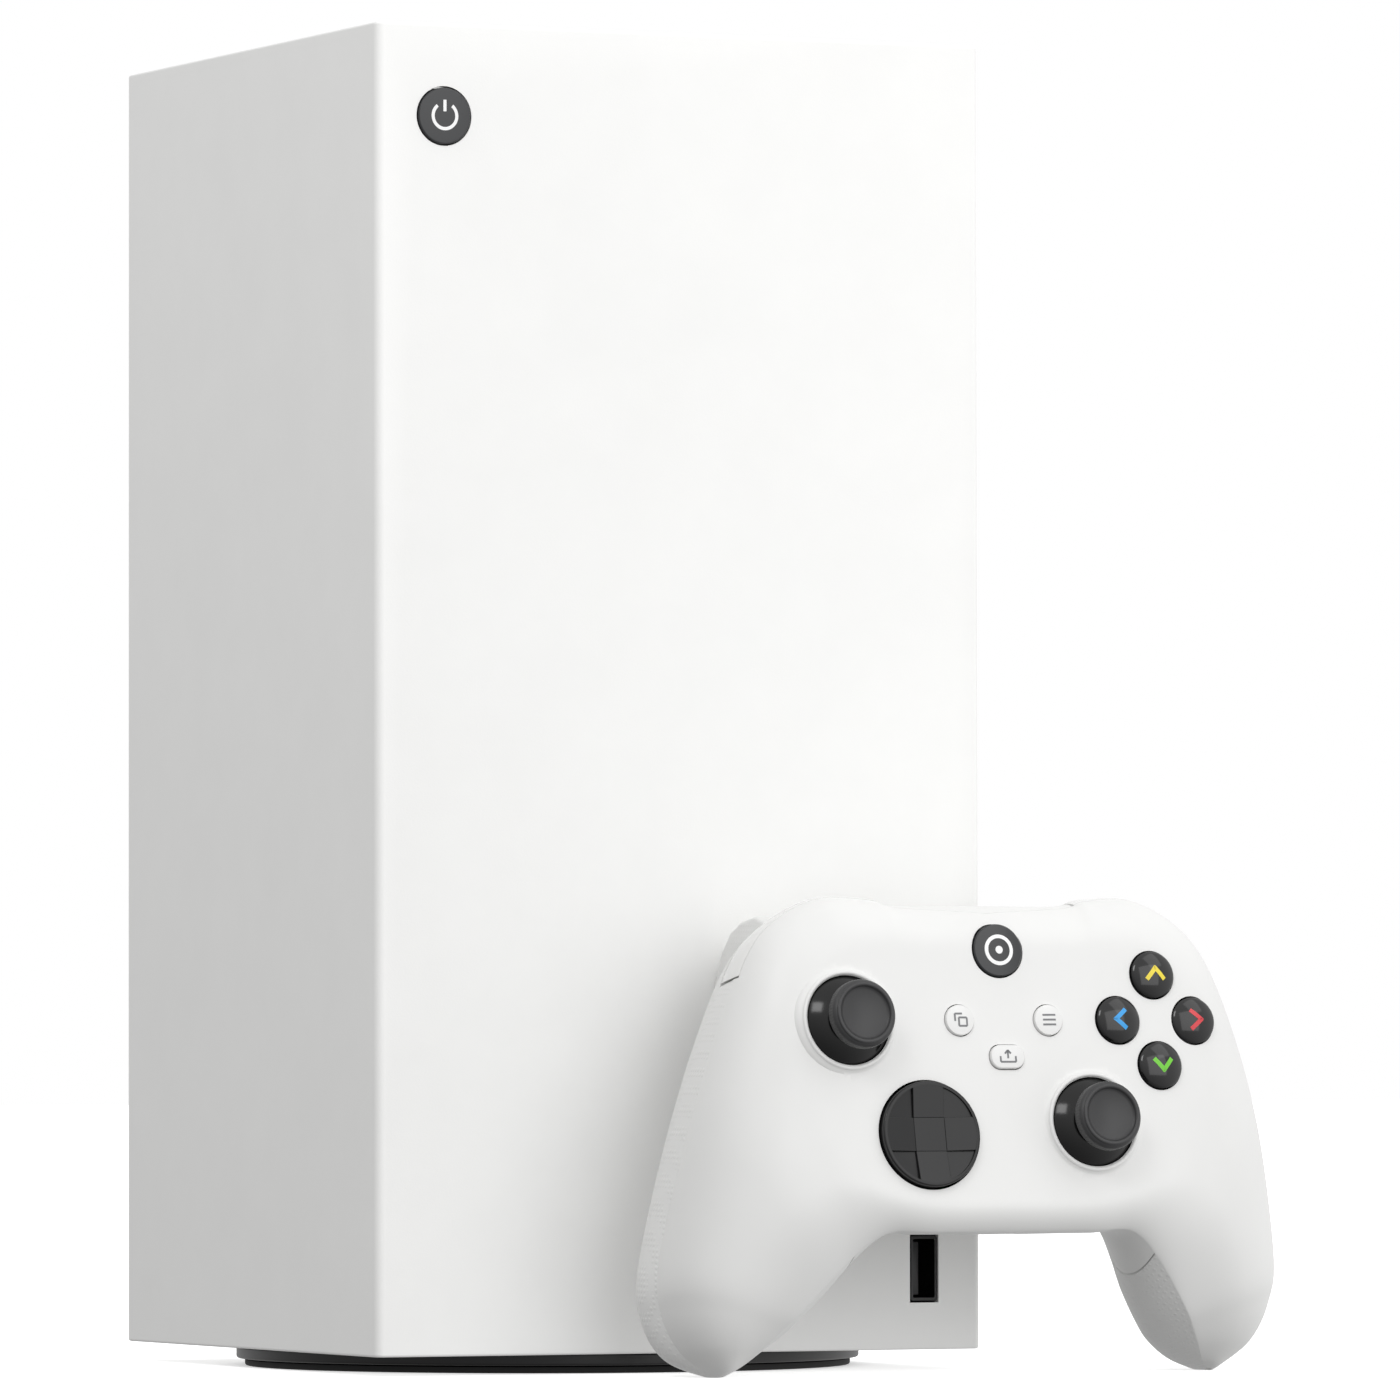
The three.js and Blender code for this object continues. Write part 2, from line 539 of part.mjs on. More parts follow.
// ================================================================ controller
// The body is a row of cross-sections from one grip's tip, across the middle, to the other's.
// Each one runs from the inner seam (bottom edge and insides of the grips) to the outer seam (top edge
// and outsides). A station holds both seams' points, the heights of the face and of the back near each
// seam, how far the back bellies out past each seam, and how far in from each seam the face and the
// back take to reach their full height.
const STATIONS = [
  { inner: [0, -47.5, -4], outer: [0, 28.6, -13], face: 0, back: [-30, -36], belly: [0, 0], round: [6, 12, 20, 17] },
  { inner: [15, -47.4, -4], outer: [20.5, 28.6, -13], face: 0, back: [-30, -36], belly: [0, 0], round: [6, 12, 20, 17] },
  { inner: [22, -47.3, -4.2], outer: [27.5, 30.2, -13], face: 0, back: [-31, -36], belly: [0, 0], round: [6.5, 13, 20, 17] },
  { inner: [29, -47, -5], outer: [41, 29.8, -13], face: 0, back: [-32, -37], belly: [0, 0], round: [8, 15, 20, 18] },
  { inner: [33.5, -48.6, -6.8], outer: [54, 21.5, -13], face: -0.3, back: [-36, -40], belly: [2, 0.5], round: [12, 21, 18, 18] },
  { inner: [37.8, -52, -9.4], outer: [62.5, 5, -14.5], face: -1.6, back: [-42, -44], belly: [3.5, 1], round: [17, 25, 18, 20] },
  { inner: [42.5, -56.8, -12.4], outer: [70.5, -20.5, -20], face: -5, back: [-49, -48], belly: [4.2, 2], round: [19, 24, 17, 19] },
  { inner: [48.5, -63.4, -17.2], outer: [76, -49, -30], face: -12.5, back: [-53, -52], belly: [4, 2.5], round: [15, 16, 14, 15] },
  { inner: [51.8, -66.9, -21], outer: [75, -60.5, -33], face: -17, back: [-53, -52], belly: [3.5, 2.5], round: [12, 12, 12, 12] },
  { inner: [54.8, -70.1, -25], outer: [70.8, -68.8, -34], face: -22, back: [-49, -49], belly: [2.2, 2], round: [8, 8, 8, 8] },
  { inner: [57.8, -72.9, -29.5], outer: [63.8, -73.9, -34], face: -28, back: [-40, -40], belly: [1, 0.5], round: [3, 3, 3, 3] },
  { inner: [60.6, -74.5, -32.4], outer: [61.8, -74.7, -33.3], face: -31.8, back: [-34.2, -34.2], belly: [0, 0], round: [1, 1, 1, 1] },
];
const LAST = STATIONS.length - 1;
const ACROSS = 6; // steps from seam to seam
const flatStation = (s) => [...s.inner, ...s.outer, s.face, ...s.back, ...s.belly, ...s.round];
const MIRRORED_PARTS = [0, 3]; // x of the inner and of the outer seam

function stationRow(k) {
  if (k < 0) return flatStation(STATIONS[-k]).map((v, i) => (MIRRORED_PARTS.includes(i) ? -v : v));
  return flatStation(STATIONS[Math.min(k, LAST)]);
}

// The station at any place between two of the list, on a smooth curve through them all.
function stationAt(place) {
  const at = Math.abs(place);
  const k = Math.min(Math.floor(at), LAST - 1);
  const f = at - k;
  const rows = [k - 1, k, k + 1, k + 2].map(stationRow);
  const row = rows[0].map((_, i) => {
    const [a, b, c, d] = rows.map((r) => r[i]);
    return b + 0.5 * f * (c - a + f * (2 * a - 5 * b + 4 * c - d + f * (3 * (b - c) + d - a)));
  });
  const side = Math.sign(place) || 1;
  return {
    inner: V(side * row[0], row[1], row[2]),
    outer: V(side * row[3], row[4], row[5]),
    face: row[6],
    back: [row[7], row[8]],
    belly: [row[9], row[10]],
    round: row.slice(11),
  };
}

// 0 at a seam, 1 once d reaches reach. power 1 leaves the seam as a crisp edge, power 2 as a round one.
const rise = (d, reach, power) => (d >= reach ? 1 : (1 - (1 - d / reach) ** 2) ** (1 / power));

// One point of the skin, moved inward by inset. t runs from the inner seam (0) to the outer (1).
function skinPoint(station, t, front, inset) {
  const along = station.outer.clone().sub(station.inner).setZ(0);
  const length = along.length() - 2 * inset;
  const start = station.inner.clone().addScaledVector(along.normalize(), inset);
  const point = start.clone().addScaledVector(along, t * length);
  const chord = THREE.MathUtils.lerp(station.inner.z, station.outer.z, t);
  const [a, b, c, d] = station.round.map((r) => Math.min(Math.max(r - inset, 1), 0.55 * length));
  const [near, far] = front
    ? [rise(t * length, a, 1.25), rise((1 - t) * length, b, 2)]
    : [rise(t * length, c, 2), rise((1 - t) * length, d, 2)];
  const share = near * far;
  if (!front) point.addScaledVector(along, 4 * (station.belly[1] * far * (1 - far) - station.belly[0] * near * (1 - near)));
  const level = front ? station.face - inset : THREE.MathUtils.lerp(...station.back, t) + inset;
  point.z = THREE.MathUtils.lerp(chord, level, share);
  return point;
}

// Closed rings of points joined into a solid, with a flat fan over each end.
function loft(rings) {
  const count = rings[0].length;
  const faces = [];
  for (let r = 0; r + 1 < rings.length; r++)
    for (let i = 0; i < count; i++) {
      const j = (i + 1) % count;
      const [a, b, c, d] = [r * count + i, r * count + j, (r + 1) * count + j, (r + 1) * count + i];
      faces.push(a, b, c, a, c, d);
    }
  const end = (rings.length - 1) * count;
  for (let i = 1; i + 1 < count; i++) faces.push(0, i + 1, i, end, end + i, end + i + 1);
  const points = new Float32Array(rings.flat().flatMap((p) => p.toArray()));
  return solid(new THREE.BufferGeometry().setAttribute("position", new THREE.BufferAttribute(points, 3)).setIndex(faces));
}

// closer together where the body bends
const PLACES = Array.from({ length: 4 * LAST + 1 }, (_, i) => i / 2 - LAST).filter(
  (p) => Number.isInteger(p) || (Math.abs(p) > 3 && Math.abs(p) < LAST - 2),
);
const STEPS = Array.from({ length: ACROSS + 1 }, (_, i) => (1 - Math.cos((Math.PI * i) / ACROSS)) / 2);

// part: "front" and "back" stop at the surface between the seams; "both" is the whole body.
function bodyForm(part, inset = 0, seamShift = 0) {
  const places = inset ? PLACES.filter((p) => Number.isInteger(p) && Math.abs(p) < LAST - 1) : PLACES;
  return loft(
    places.map((place) => {
      const station = stationAt(place);
      const side = (front, steps) => steps.map((t) => skinPoint(station, t, front, inset));
      const flat = (steps) =>
        steps.map((t) => {
          const p = skinPoint(station, t, true, inset);
          p.z = THREE.MathUtils.lerp(station.inner.z, station.outer.z, t) + seamShift;
          return p;
        });
      const back = [...STEPS].reverse();
      if (part === "front") return [...side(true, STEPS.slice(1, -1)), ...flat(back)];
      if (part === "back") return [...flat(STEPS), ...side(false, back.slice(1, -1))];
      return [...side(true, STEPS), ...side(false, back.slice(1, -1))];
    }),
  );
}

// ---- what the shells give way to
const shoulderZ = (x) => -3.9 - 0.125 * Math.abs(x); // front edge of the bumpers and of their bridge
function shoulder(from, to, spread, low = BUMPER_LOW - spread) {
  const middle = from < 0 && to > 0 ? [[0, shoulderZ(0) + spread]] : [];
  const outline = [
    [from - spread, shoulderZ(from) + spread],
    ...middle,
    [to + spread, shoulderZ(to) + spread],
    [to + spread, BUMPER_BACK - spread],
    [from - spread, BUMPER_BACK - spread],
  ];
  return turn(plate(outline, -(40 + spread), -low), 90);
}

const TRIGGER_PROFILE = [
  [-22, 27], [-28, 29.4], [-35, 29.6], [-40.5, 28.4], [-46, 25], [-51, 19], [-53, 11], [-53, 3], [-51.5, -4],
  [-48, -3.4], [-48, 3], [-46, 12], [-42, 17], [-36, 20], [-30, 19], [-24, 16.5], [-22, 18],
];
const TRIGGER_ROOM = [[-21, 32], [-58, 32], [-58, -14], [-33, -14], [-24, 8], [-21, 12]];
const TRIGGER_PIVOT = [20.6, -26.5]; // y, z
// An outline of [z, y] points pushed along x.
function sidePlate(profile, low, high) {
  return turn(plate(profile.map(([z, y]) => [-z, y]), low, high), 0, 90, 0);
}

function stickHole(x, y) {
  const radius = DOME_RADIUS + STICK_GAP;
  const profile = [-6, -2.5, 0, COLLAR_RISE + 1].map((z) => [Math.sqrt(radius ** 2 - (z - PIVOT_Z) ** 2), z]);
  return move(turned([[0, -6], ...profile, [0, COLLAR_RISE + 1]], 24), x, y, 0);
}
const FACE_BUTTONS = {
  button_north: [0, 1],
  button_east: [1, 0],
  button_south: [0, -1],
  button_west: [-1, 0],
};

function frontShell() {
  let body = cut(bodyForm("front", 0, GAP / 2), bodyForm("front", SHELL, -6));
  for (const [x, y] of Object.values(STICKS)) body = joined(body, bar(COLLAR_RADIUS, COLLAR_RISE + 1, [x, y, -1], "z", 24));
  const holes = Object.values(STICKS).map(([x, y]) => stickHole(x, y));
  holes.push(bar(DPAD_RADIUS + 0.6, 20, [DPAD_X, DPAD_Y, -10], "z", 24));
  holes.push(bar(GUIDE_RADIUS + GAP, 20, [0, GUIDE_Y, -10], "z", 20));
  for (const [dx, dy] of Object.values(FACE_BUTTONS))
    holes.push(bar(BUTTON_RADIUS + GAP, 20, [DIAMOND_X + dx * DIAMOND[0], dy * DIAMOND[1], -12], "z", 16));
  for (const side of [-1, 1]) holes.push(bar(SMALL_RADIUS + GAP, 20, [side * SMALL_X, 0, -10], "z", 12));
  const share = rounded(SHARE_WIDTH + 2 * GAP, SHARE_HEIGHT + 2 * GAP, 2.4, 0, SHARE_Y);
  return cut(body, ...holes, plate(share, -10, 5), shoulder(-75, 75, 0));
}

function plateRoom(side, spread) {
  const outline = [
    [34 - spread, 40],
    [34 - spread, -6],
    [39 - spread, -34],
    [36 - spread, -80],
    [90, -80],
    [90, 40],
  ];
  return plate(outline.map(([x, y]) => [side * x, y]), -70, 10);
}

function rearShell() {
  let body = cut(bodyForm("back", 0, -GAP / 2), bodyForm("back", SHELL, 6));
  const bay = (spread, low, high) =>
    block(
      [-DOOR_HALF_WIDTH + 1.4 - spread, DOOR_LOW + 1.4 - spread, low],
      [DOOR_HALF_WIDTH - 1.4 + spread, DOOR_HIGH - 1.4 + spread, high],
    );
  body = joined(body, bay(1.4, REAR_Z + 3, BOARD_Z - BOARD_THICK - GAP));
  return cut(
    body,
    bay(0, REAR_Z - 9, BOARD_Z),
    plate(doorOutline(GAP), REAR_Z - 9, REAR_Z + 3.4),
    plateRoom(1, GAP),
    plateRoom(-1, GAP),
    triggerRoom(1),
    triggerRoom(-1),
    shoulder(-75, 75, GAP),
    portRoom(GAP),
    bar(PAIR_RADIUS + GAP, 20, [PAIR_X, 12, PORT_Z], "y", 16),
    bar(JACK_RADIUS + GAP, 20, [0, -60, JACK_Z], "y", 20),
  );
}

// A trigger turns on a pin that stands out at both of its sides.
const PIN_RADIUS = 1.5;
const PIN_REACH = 2.5;
const triggerPin = (spread) =>
  bar(
    PIN_RADIUS + spread,
    TRIGGER_OUT - TRIGGER_IN + 2 * (PIN_REACH + spread),
    [TRIGGER_IN - PIN_REACH - spread, ...TRIGGER_PIVOT],
    "x",
    12,
  );
const triggerRoom = (side) =>
  side > 0
    ? joined(sidePlate(TRIGGER_ROOM, TRIGGER_IN - 0.7, TRIGGER_OUT + 0.7), triggerPin(GAP))
    : mirrored(triggerRoom(1));
const doorOutline = (spread) =>
  rounded(2 * (DOOR_HALF_WIDTH + spread), DOOR_HIGH - DOOR_LOW + 2 * spread, 4 + spread, 0, (DOOR_HIGH + DOOR_LOW) / 2);

function gripPlate(side) {
  const skin = cut(bodyForm("back", 0, -GAP / 2), bodyForm("back", SHELL, 6));
  return cut(skin.intersect(plateRoom(side, 0)), triggerRoom(side), shoulder(-75, 75, GAP));
}

const shoulderForm = cut(bodyForm("both"), bodyForm("both", 2.6));
const bumper = (side) => {
  const room = shoulder(BRIDGE_HALF + GAP, 74, -GAP / 2, BUMPER_LOW + BUMPER_PRESS);
  const right = shoulderForm.intersect(room);
  return side > 0 ? right : mirrored(right);
};
const bridge = () => shoulderForm.intersect(shoulder(-BRIDGE_HALF, BRIDGE_HALF, -GAP / 2));

function trigger(side) {
  const lever = sidePlate(TRIGGER_PROFILE, TRIGGER_IN, TRIGGER_OUT);
  const right = joined(lever, triggerPin(0));
  return side > 0 ? right : mirrored(right);
}

// ---- thumb sticks, each on two crossed hinges
const PIVOT_RING = 8; // outer radius of the outer yoke
const HUB_RADIUS = 3.2; // inner yoke
const STEM_RADIUS = 1.3;
const HOUSING_RADIUS = 11.4;
const PRESS = 0.8;

function stick([x, y]) {
  const inside = DOME_RADIUS - 1.2;
  const arc = (radius, angle) => [radius * Math.sin(angle), radius * Math.cos(angle)];
  const sweep = [0.5, 1].map((f) => f * DOME_HALF_ANGLE);
  const rim = CAP_TOP - PIVOT_Z;
  const profile = [
    [0, -4],
    [STEM_RADIUS, -4],
    [STEM_RADIUS, Math.sqrt(inside ** 2 - STEM_RADIUS ** 2)],
    ...sweep.map((a) => arc(inside, a)),
    ...sweep.reverse().map((a) => arc(DOME_RADIUS, a)),
    [4.4, Math.sqrt(DOME_RADIUS ** 2 - 4.4 ** 2)],
    [4.4, rim - 4.6],
    [CAP_RADIUS - 1.2, rim - 3.8],
    [CAP_RADIUS, rim - 2.8],
    [CAP_RADIUS, rim - 1.6],
    [CAP_RADIUS - 0.8, rim],
    [CAP_RADIUS - 1.4, rim],
    [CAP_RADIUS - 2, rim - 0.7],
    [0, rim - 1.5],
  ];
  return move(turned(profile, 16), x, y, PIVOT_Z);
}

function outerYoke([x, y]) {
  const ring = turned([[PIVOT_RING - 2, -1.2], [PIVOT_RING, -1.2], [PIVOT_RING, 1.2], [PIVOT_RING - 2, 1.2]], 16);
  const stubs = [
    bar(0.9, 3.2, [PIVOT_RING - 0.6, 0, 0], "x", 8),
    bar(0.9, 3.2, [-PIVOT_RING + 0.6 - 3.2, 0, 0], "x", 8),
  ];
  const holes = bar(0.7 + GAP, 30, [0, -15, 0], "y", 8);
  return move(cut(joined(ring, ...stubs), holes), x, y, PIVOT_Z);
}

function innerYoke([x, y]) {
  const hub = bar(HUB_RADIUS, 4, [0, 0, -2], "z", 16);
  const axle = bar(0.7, 2 * PIVOT_RING - 1, [0, 0.5 - PIVOT_RING, 0], "y", 8);
  return move(cut(joined(hub, axle), bar(STEM_RADIUS + GAP, 10, [0, 0, -5], "z", 16)), x, y, PIVOT_Z);
}

function stickHousing([x, y]) {
  const low = BOARD_Z + GAP - PIVOT_Z;
  const cup = turned(
    [
      [0, low],
      [HOUSING_RADIUS, low],
      [HOUSING_RADIUS, 1.6],
      [HOUSING_RADIUS - 2, 1.6],
      [HOUSING_RADIUS - 2, low + 1],
      [0, low + 1],
    ],
    20,
  );
  return move(cut(cup, bar(0.9 + GAP, 40, [-20, 0, 0], "x", 8)), x, y, PIVOT_Z);
}

// ---- direction pad and buttons
const DPAD_PIVOT_Z = -5;

function directionPad() {
  const dish = turned(
    [
      [0, -3.2],
      [DPAD_RADIUS - 1.5, -3.2],
      [DPAD_RADIUS, -2],
      [DPAD_RADIUS, 0.6],
      [DPAD_RADIUS - 0.8, 1.3],
      [4, -0.2],
      [0, -0.2],
    ],
    24,
  );
  const arm = block([-3.7, -DPAD_RADIUS + 0.7, -1.5], [3.7, DPAD_RADIUS - 0.7, 1.9]);
  return move(joined(dish, arm, turn(arm, 0, 0, 90)), DPAD_X, DPAD_Y, 0);
}

function dpadPlate() {
  const body = joined(
    bar(DPAD_RADIUS - 2, 1.2, [0, 0, DPAD_PIVOT_Z - 0.6], "z", 20),
    bar(2.4, 5, [0, 0, DPAD_PIVOT_Z - 5], "z", 12),
  );
  return move(body, DPAD_X, DPAD_Y, 0);
}

// A round key with a domed top. A flange round its foot keeps it in its hole.
function roundButton(radius, x, y, top, low, crown, flange = 0.9) {
  const foot = flange ? [[radius + flange, low], [radius + flange, low + 1], [radius, low + 1]] : [[radius, low]];
  const profile = [
    [0, low],
    ...foot,
    [radius, top - crown],
    [radius * 0.8, top - crown * 0.4],
    [0, top],
  ];
  return move(turned(profile, 16), x, y, 0);
}

function shareButton() {
  return joined(
    plate(rounded(SHARE_WIDTH, SHARE_HEIGHT, 2.4, 0, SHARE_Y), -4.5, 0.7),
    plate(rounded(SHARE_WIDTH + 1.6, SHARE_HEIGHT + 1.6, 2.8, 0, SHARE_Y), -4.5, -3.6),
  );
}

// ---- inside and behind
const PORT_Z = -26.5; // cable socket and sync button, along the top of the back
const PORT_FACE = 24.2;
const PAIR_X = -15;
const PAIR_RADIUS = 2.4;
const JACK_Z = -11.5;
const JACK_RADIUS = 3.4;
const JACK_BORE = 1.8;
const JACK_LENGTH = 11;
const JACK_FACE = -45.8;
const MOTOR_X = 57;
const MOTOR_Y = -37;
const MOTOR_RADIUS = 8;

const portRoom = (spread) =>
  block([-4.8 - spread, 12, PORT_Z - 1.9 - spread], [4.8 + spread, 40, PORT_Z + 1.9 + spread]);

function cableSocket() {
  const shell = block([-4.8, PORT_FACE - 7, PORT_Z - 1.9], [4.8, PORT_FACE, PORT_Z + 1.9]);
  const mouth = block([-4.3, PORT_FACE - 6, PORT_Z - 1.4], [4.3, PORT_FACE + 1, PORT_Z + 1.4]);
  const blade = block([-3.3, PORT_FACE - 6.5, PORT_Z - 0.4], [3.3, PORT_FACE - 1, PORT_Z + 0.4]);
  return joined(cut(shell, mouth), blade);
}

function headsetJack() {
  const outer = bar(JACK_RADIUS, JACK_LENGTH, [0, JACK_FACE, JACK_Z], "y", 20);
  return cut(outer, bar(JACK_BORE, JACK_LENGTH, [0, JACK_FACE - 1.5, JACK_Z], "y", 14));
}

function syncCap() {
  const cap = bar(PAIR_RADIUS, 2.2, [PAIR_X, PORT_FACE - 1.2, PORT_Z], "y", 16);
  return joined(cap, bar(1.2, 5, [PAIR_X, PORT_FACE - 6, PORT_Z], "y", 10));
}

function controllerBoard() {
  const right = [[56, 6], [53, -18], [44, -31], [28, -37]];
  const top = [[-26, 21], [26, 21], [30, 17], [50, 15]];
  const outline = [...top, ...right, ...right.map(([x, y]) => [-x, y]).reverse(), [-50, 15], [-30, 17]];
  return plate(outline, BOARD_Z - BOARD_THICK, BOARD_Z);
}

function batteryDoor() {
  return joined(
    plate(doorOutline(-1.2), REAR_Z, REAR_Z + DOOR_THICK),
    plate(doorOutline(0), REAR_Z + 0.9, REAR_Z + DOOR_THICK + DOOR_LIP),
  );
}

function battery(order) {
  const y = (DOOR_HIGH + DOOR_LOW) / 2 + (order - 0.5) * CELL_SPACING;
  const flip = order ? 1 : -1;
  const can = bar(CELL_RADIUS, CELL_LENGTH - 1.6, [-(CELL_LENGTH - 1.6) / 2 - 0.4 * flip, y, CELL_Z], "x", 20);
  const tip = bar(2.6, 1.6, [flip > 0 ? CELL_LENGTH / 2 - 1.3 : -CELL_LENGTH / 2 - 0.3, y, CELL_Z], "x", 12);
  return joined(can, tip);
}

function rumbleMotor(side) {
  const x = side * MOTOR_X;
  return joined(
    bar(MOTOR_RADIUS, 12.4, [x, MOTOR_Y, -36.4], "z", 16),
    bar(1, 7.6, [x, MOTOR_Y, -24.6], "z", 10),
  );
}

function rumbleWeight(side) {
  const x = side * MOTOR_X;
  const half = bar(MOTOR_RADIUS + 0.6, 4.6, [x, MOTOR_Y, -23], "z", 20);
  const away = block([x - 20, MOTOR_Y - 20, -30], [x + 20, MOTOR_Y, -10]);
  const hub = bar(2.6, 4.6, [x, MOTOR_Y, -23], "z", 14);
  return cut(joined(cut(half, away), hub), bar(1 + GAP, 10, [x, MOTOR_Y, -24], "z", 10));
}

piece(pad, "front_shell", frontShell(), finish.shell);
piece(pad, "rear_shell", rearShell(), finish.shell);
piece(pad, "bumper_bridge", bridge(), finish.shell);
for (const [name, side] of [["left", -1], ["right", 1]]) {
  piece(pad, `grip_plate_${name}`, gripPlate(side), finish.shell);
  piece(pad, `bumper_${name}`, bumper(side), finish.shell);
  piece(pad, `trigger_${name}`, trigger(side), finish.shell);
  piece(pad, `rumble_motor_${name}`, rumbleMotor(side), finish.steel);
  piece(pad, `rumble_weight_${name}`, rumbleWeight(side), finish.steel);
  piece(pad, `stick_${name}`, stick(STICKS[name]), finish.black);
  piece(pad, `stick_outer_yoke_${name}`, outerYoke(STICKS[name]), finish.grey);
  piece(pad, `stick_inner_yoke_${name}`, innerYoke(STICKS[name]), finish.grey);
  piece(pad, `stick_housing_${name}`, stickHousing(STICKS[name]), finish.steel);
}
piece(pad, "dpad", directionPad(), finish.glossBlack);
piece(pad, "dpad_plate", dpadPlate(), finish.grey);
for (const [name, [dx, dy]] of Object.entries(FACE_BUTTONS))
  piece(
    pad,
    name,
    roundButton(BUTTON_RADIUS, DIAMOND_X + dx * DIAMOND[0], dy * DIAMOND[1], BUTTON_RISE - 0.8 * Math.max(dx, 0), -8, 1.4),
    finish.glossBlack,
  );
piece(pad, "guide_button", roundButton(GUIDE_RADIUS, 0, GUIDE_Y, 1, -3.2, 0.5, 0), finish.grey);
piece(pad, "view_button", roundButton(SMALL_RADIUS, -SMALL_X, 0, 1, -4.5, 0.5), finish.white);
piece(pad, "menu_button", roundButton(SMALL_RADIUS, SMALL_X, 0, 1, -4.5, 0.5), finish.white);
piece(pad, "share_button", shareButton(), finish.white);
piece(pad, "controller_board", controllerBoard(), finish.board);
piece(pad, "battery_door", batteryDoor(), finish.shell);
piece(pad, "battery_lower", battery(0), finish.cell);
piece(pad, "battery_upper", battery(1), finish.cell);
piece(pad, "cable_socket", cableSocket(), finish.steel);
piece(pad, "pairing_button", syncCap(), finish.grey);
piece(pad, "headset_jack", headsetJack(), finish.black);

// The controller stands on the tips of its grips, and its triggers rest against the console's front.
const reach = new THREE.Box3().setFromObject(pad, true);
pad.position.set(PAD_X, FRONT - GAP - reach.max.y, -reach.min.z);

export default object;
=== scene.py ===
import json
import math

import bmesh
import bpy
from bpy.props import FloatProperty, FloatVectorProperty, IntProperty, PointerProperty
from mathutils import Matrix, Vector


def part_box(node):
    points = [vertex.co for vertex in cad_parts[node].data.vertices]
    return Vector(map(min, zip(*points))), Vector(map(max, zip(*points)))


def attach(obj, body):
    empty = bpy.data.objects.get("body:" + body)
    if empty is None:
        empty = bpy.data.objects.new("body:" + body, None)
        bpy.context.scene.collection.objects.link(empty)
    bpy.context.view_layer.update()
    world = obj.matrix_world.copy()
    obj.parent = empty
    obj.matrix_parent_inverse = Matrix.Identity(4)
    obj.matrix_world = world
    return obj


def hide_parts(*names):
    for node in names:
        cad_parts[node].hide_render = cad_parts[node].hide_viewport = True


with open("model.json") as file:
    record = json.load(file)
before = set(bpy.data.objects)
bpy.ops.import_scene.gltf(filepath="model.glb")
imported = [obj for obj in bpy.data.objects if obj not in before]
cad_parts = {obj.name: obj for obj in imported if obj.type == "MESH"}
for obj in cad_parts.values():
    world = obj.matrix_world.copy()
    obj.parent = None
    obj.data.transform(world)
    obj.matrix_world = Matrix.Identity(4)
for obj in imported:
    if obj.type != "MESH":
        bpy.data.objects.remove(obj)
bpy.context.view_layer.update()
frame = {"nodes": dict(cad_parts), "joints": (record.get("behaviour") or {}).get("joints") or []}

bl_info = {
    "name": "Game Console and Controller",
    "version": (1, 0, 0),
    "blender": (4, 5, 0),
    "location": "View3D > Sidebar > Console",
    "description": "Builds an upright game console and the wireless controller that leans on it",
    "category": "Add Mesh",
}

MM = 0.001
TURN = 2 * math.pi
SEAM = 0.35  # gap between neighbouring pieces
SHELL = 2.0  # wall of the controller's shells


# ---------------------------------------------------------------- places, from the frame
def joint(name):
    return next(j for j in frame["joints"] if j["name"] == name)


def middle(node):
    low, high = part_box(node)
    return Vector([(a + b) / 2 / MM for a, b in zip(low, high)])


def corners(node):
    low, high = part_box(node)
    return Vector(low) / MM, Vector(high) / MM


CASE_LOW, CASE_HIGH = corners("casing")
FRONT = CASE_LOW.y
TOP = CASE_HIGH.z
WALL = 2.6

STICK_DEPTH = 11.0  # a stick's pivot below the face
LEFT_STICK = Vector((-38.7, 0, -STICK_DEPTH))
RIGHT_STICK = Vector((20.3, -23.3, -STICK_DEPTH))


def controller_frame():
    """The controller's own axes: x to its right, y up to the bumpers, z out of its face."""
    up = Vector(joint("stick_left_roll")["axis"]).normalized()
    across = Vector(joint("stick_left_pitch")["axis"]).normalized()
    turn = Matrix((across, up, across.cross(up))).transposed()
    place = Vector(joint("stick_left_pitch")["pos_m"]) / MM - turn @ LEFT_STICK
    return Matrix.Translation(place) @ turn.to_4x4()


PAD = controller_frame()

# the console's own controls
POWER_RADIUS = 6.4
SYNC_RADIUS = 2.6
FOOT_NECK = 56.5  # radius of the foot where it enters the casing

# places and sizes on the controller's face
DPAD_SPOT = (-21, -26)
DPAD_RADIUS = 12.0
GUIDE_Y = 16
GUIDE_RADIUS = 6.0
SMALL_X = 11.1  # view and menu keys, from the middle
SMALL_RADIUS = 3.5
SHARE_Y = -8.4
SHARE_WIDTH, SHARE_HEIGHT = 8.4, 5.4

# the controller's back
DOOR_WIDTH, DOOR_HEIGHT = 55, 39.6
DOOR_Y = -7.2


# ---------------------------------------------------------------- settings
class ConsoleSizes(bpy.types.PropertyGroup):
    corner: FloatProperty(
        name="Corner", description="Radius of the casing's upright edges, mm", default=2.0, min=0.5
    )
    rim: FloatProperty(name="Rim", description="Rounding of the casing's top and bottom edges, mm", default=0.6)
    air_pitch: FloatProperty(
        name="Air hole spacing", description="Spacing of the top air holes, mm", default=10.3
    )
    air_radius: FloatProperty(name="Air hole radius", description="Radius of a top air hole, mm", default=4.3)
    dish: FloatProperty(name="Dish", description="Depth of the top grille's hollow, mm", default=7.0)
    knurls: IntProperty(name="Knurls", description="Ridges round the rim of a thumb stick", default=72, min=12)


class ConsoleColours(bpy.types.PropertyGroup):
    case: FloatVectorProperty(
        name="Casing", description="Casing plastic, sRGB", subtype="COLOR", default=(0.945, 0.945, 0.94)
    )
    shell: FloatVectorProperty(
        name="Shell", description="Controller plastic, sRGB", subtype="COLOR", default=(0.89, 0.89, 0.885)
    )


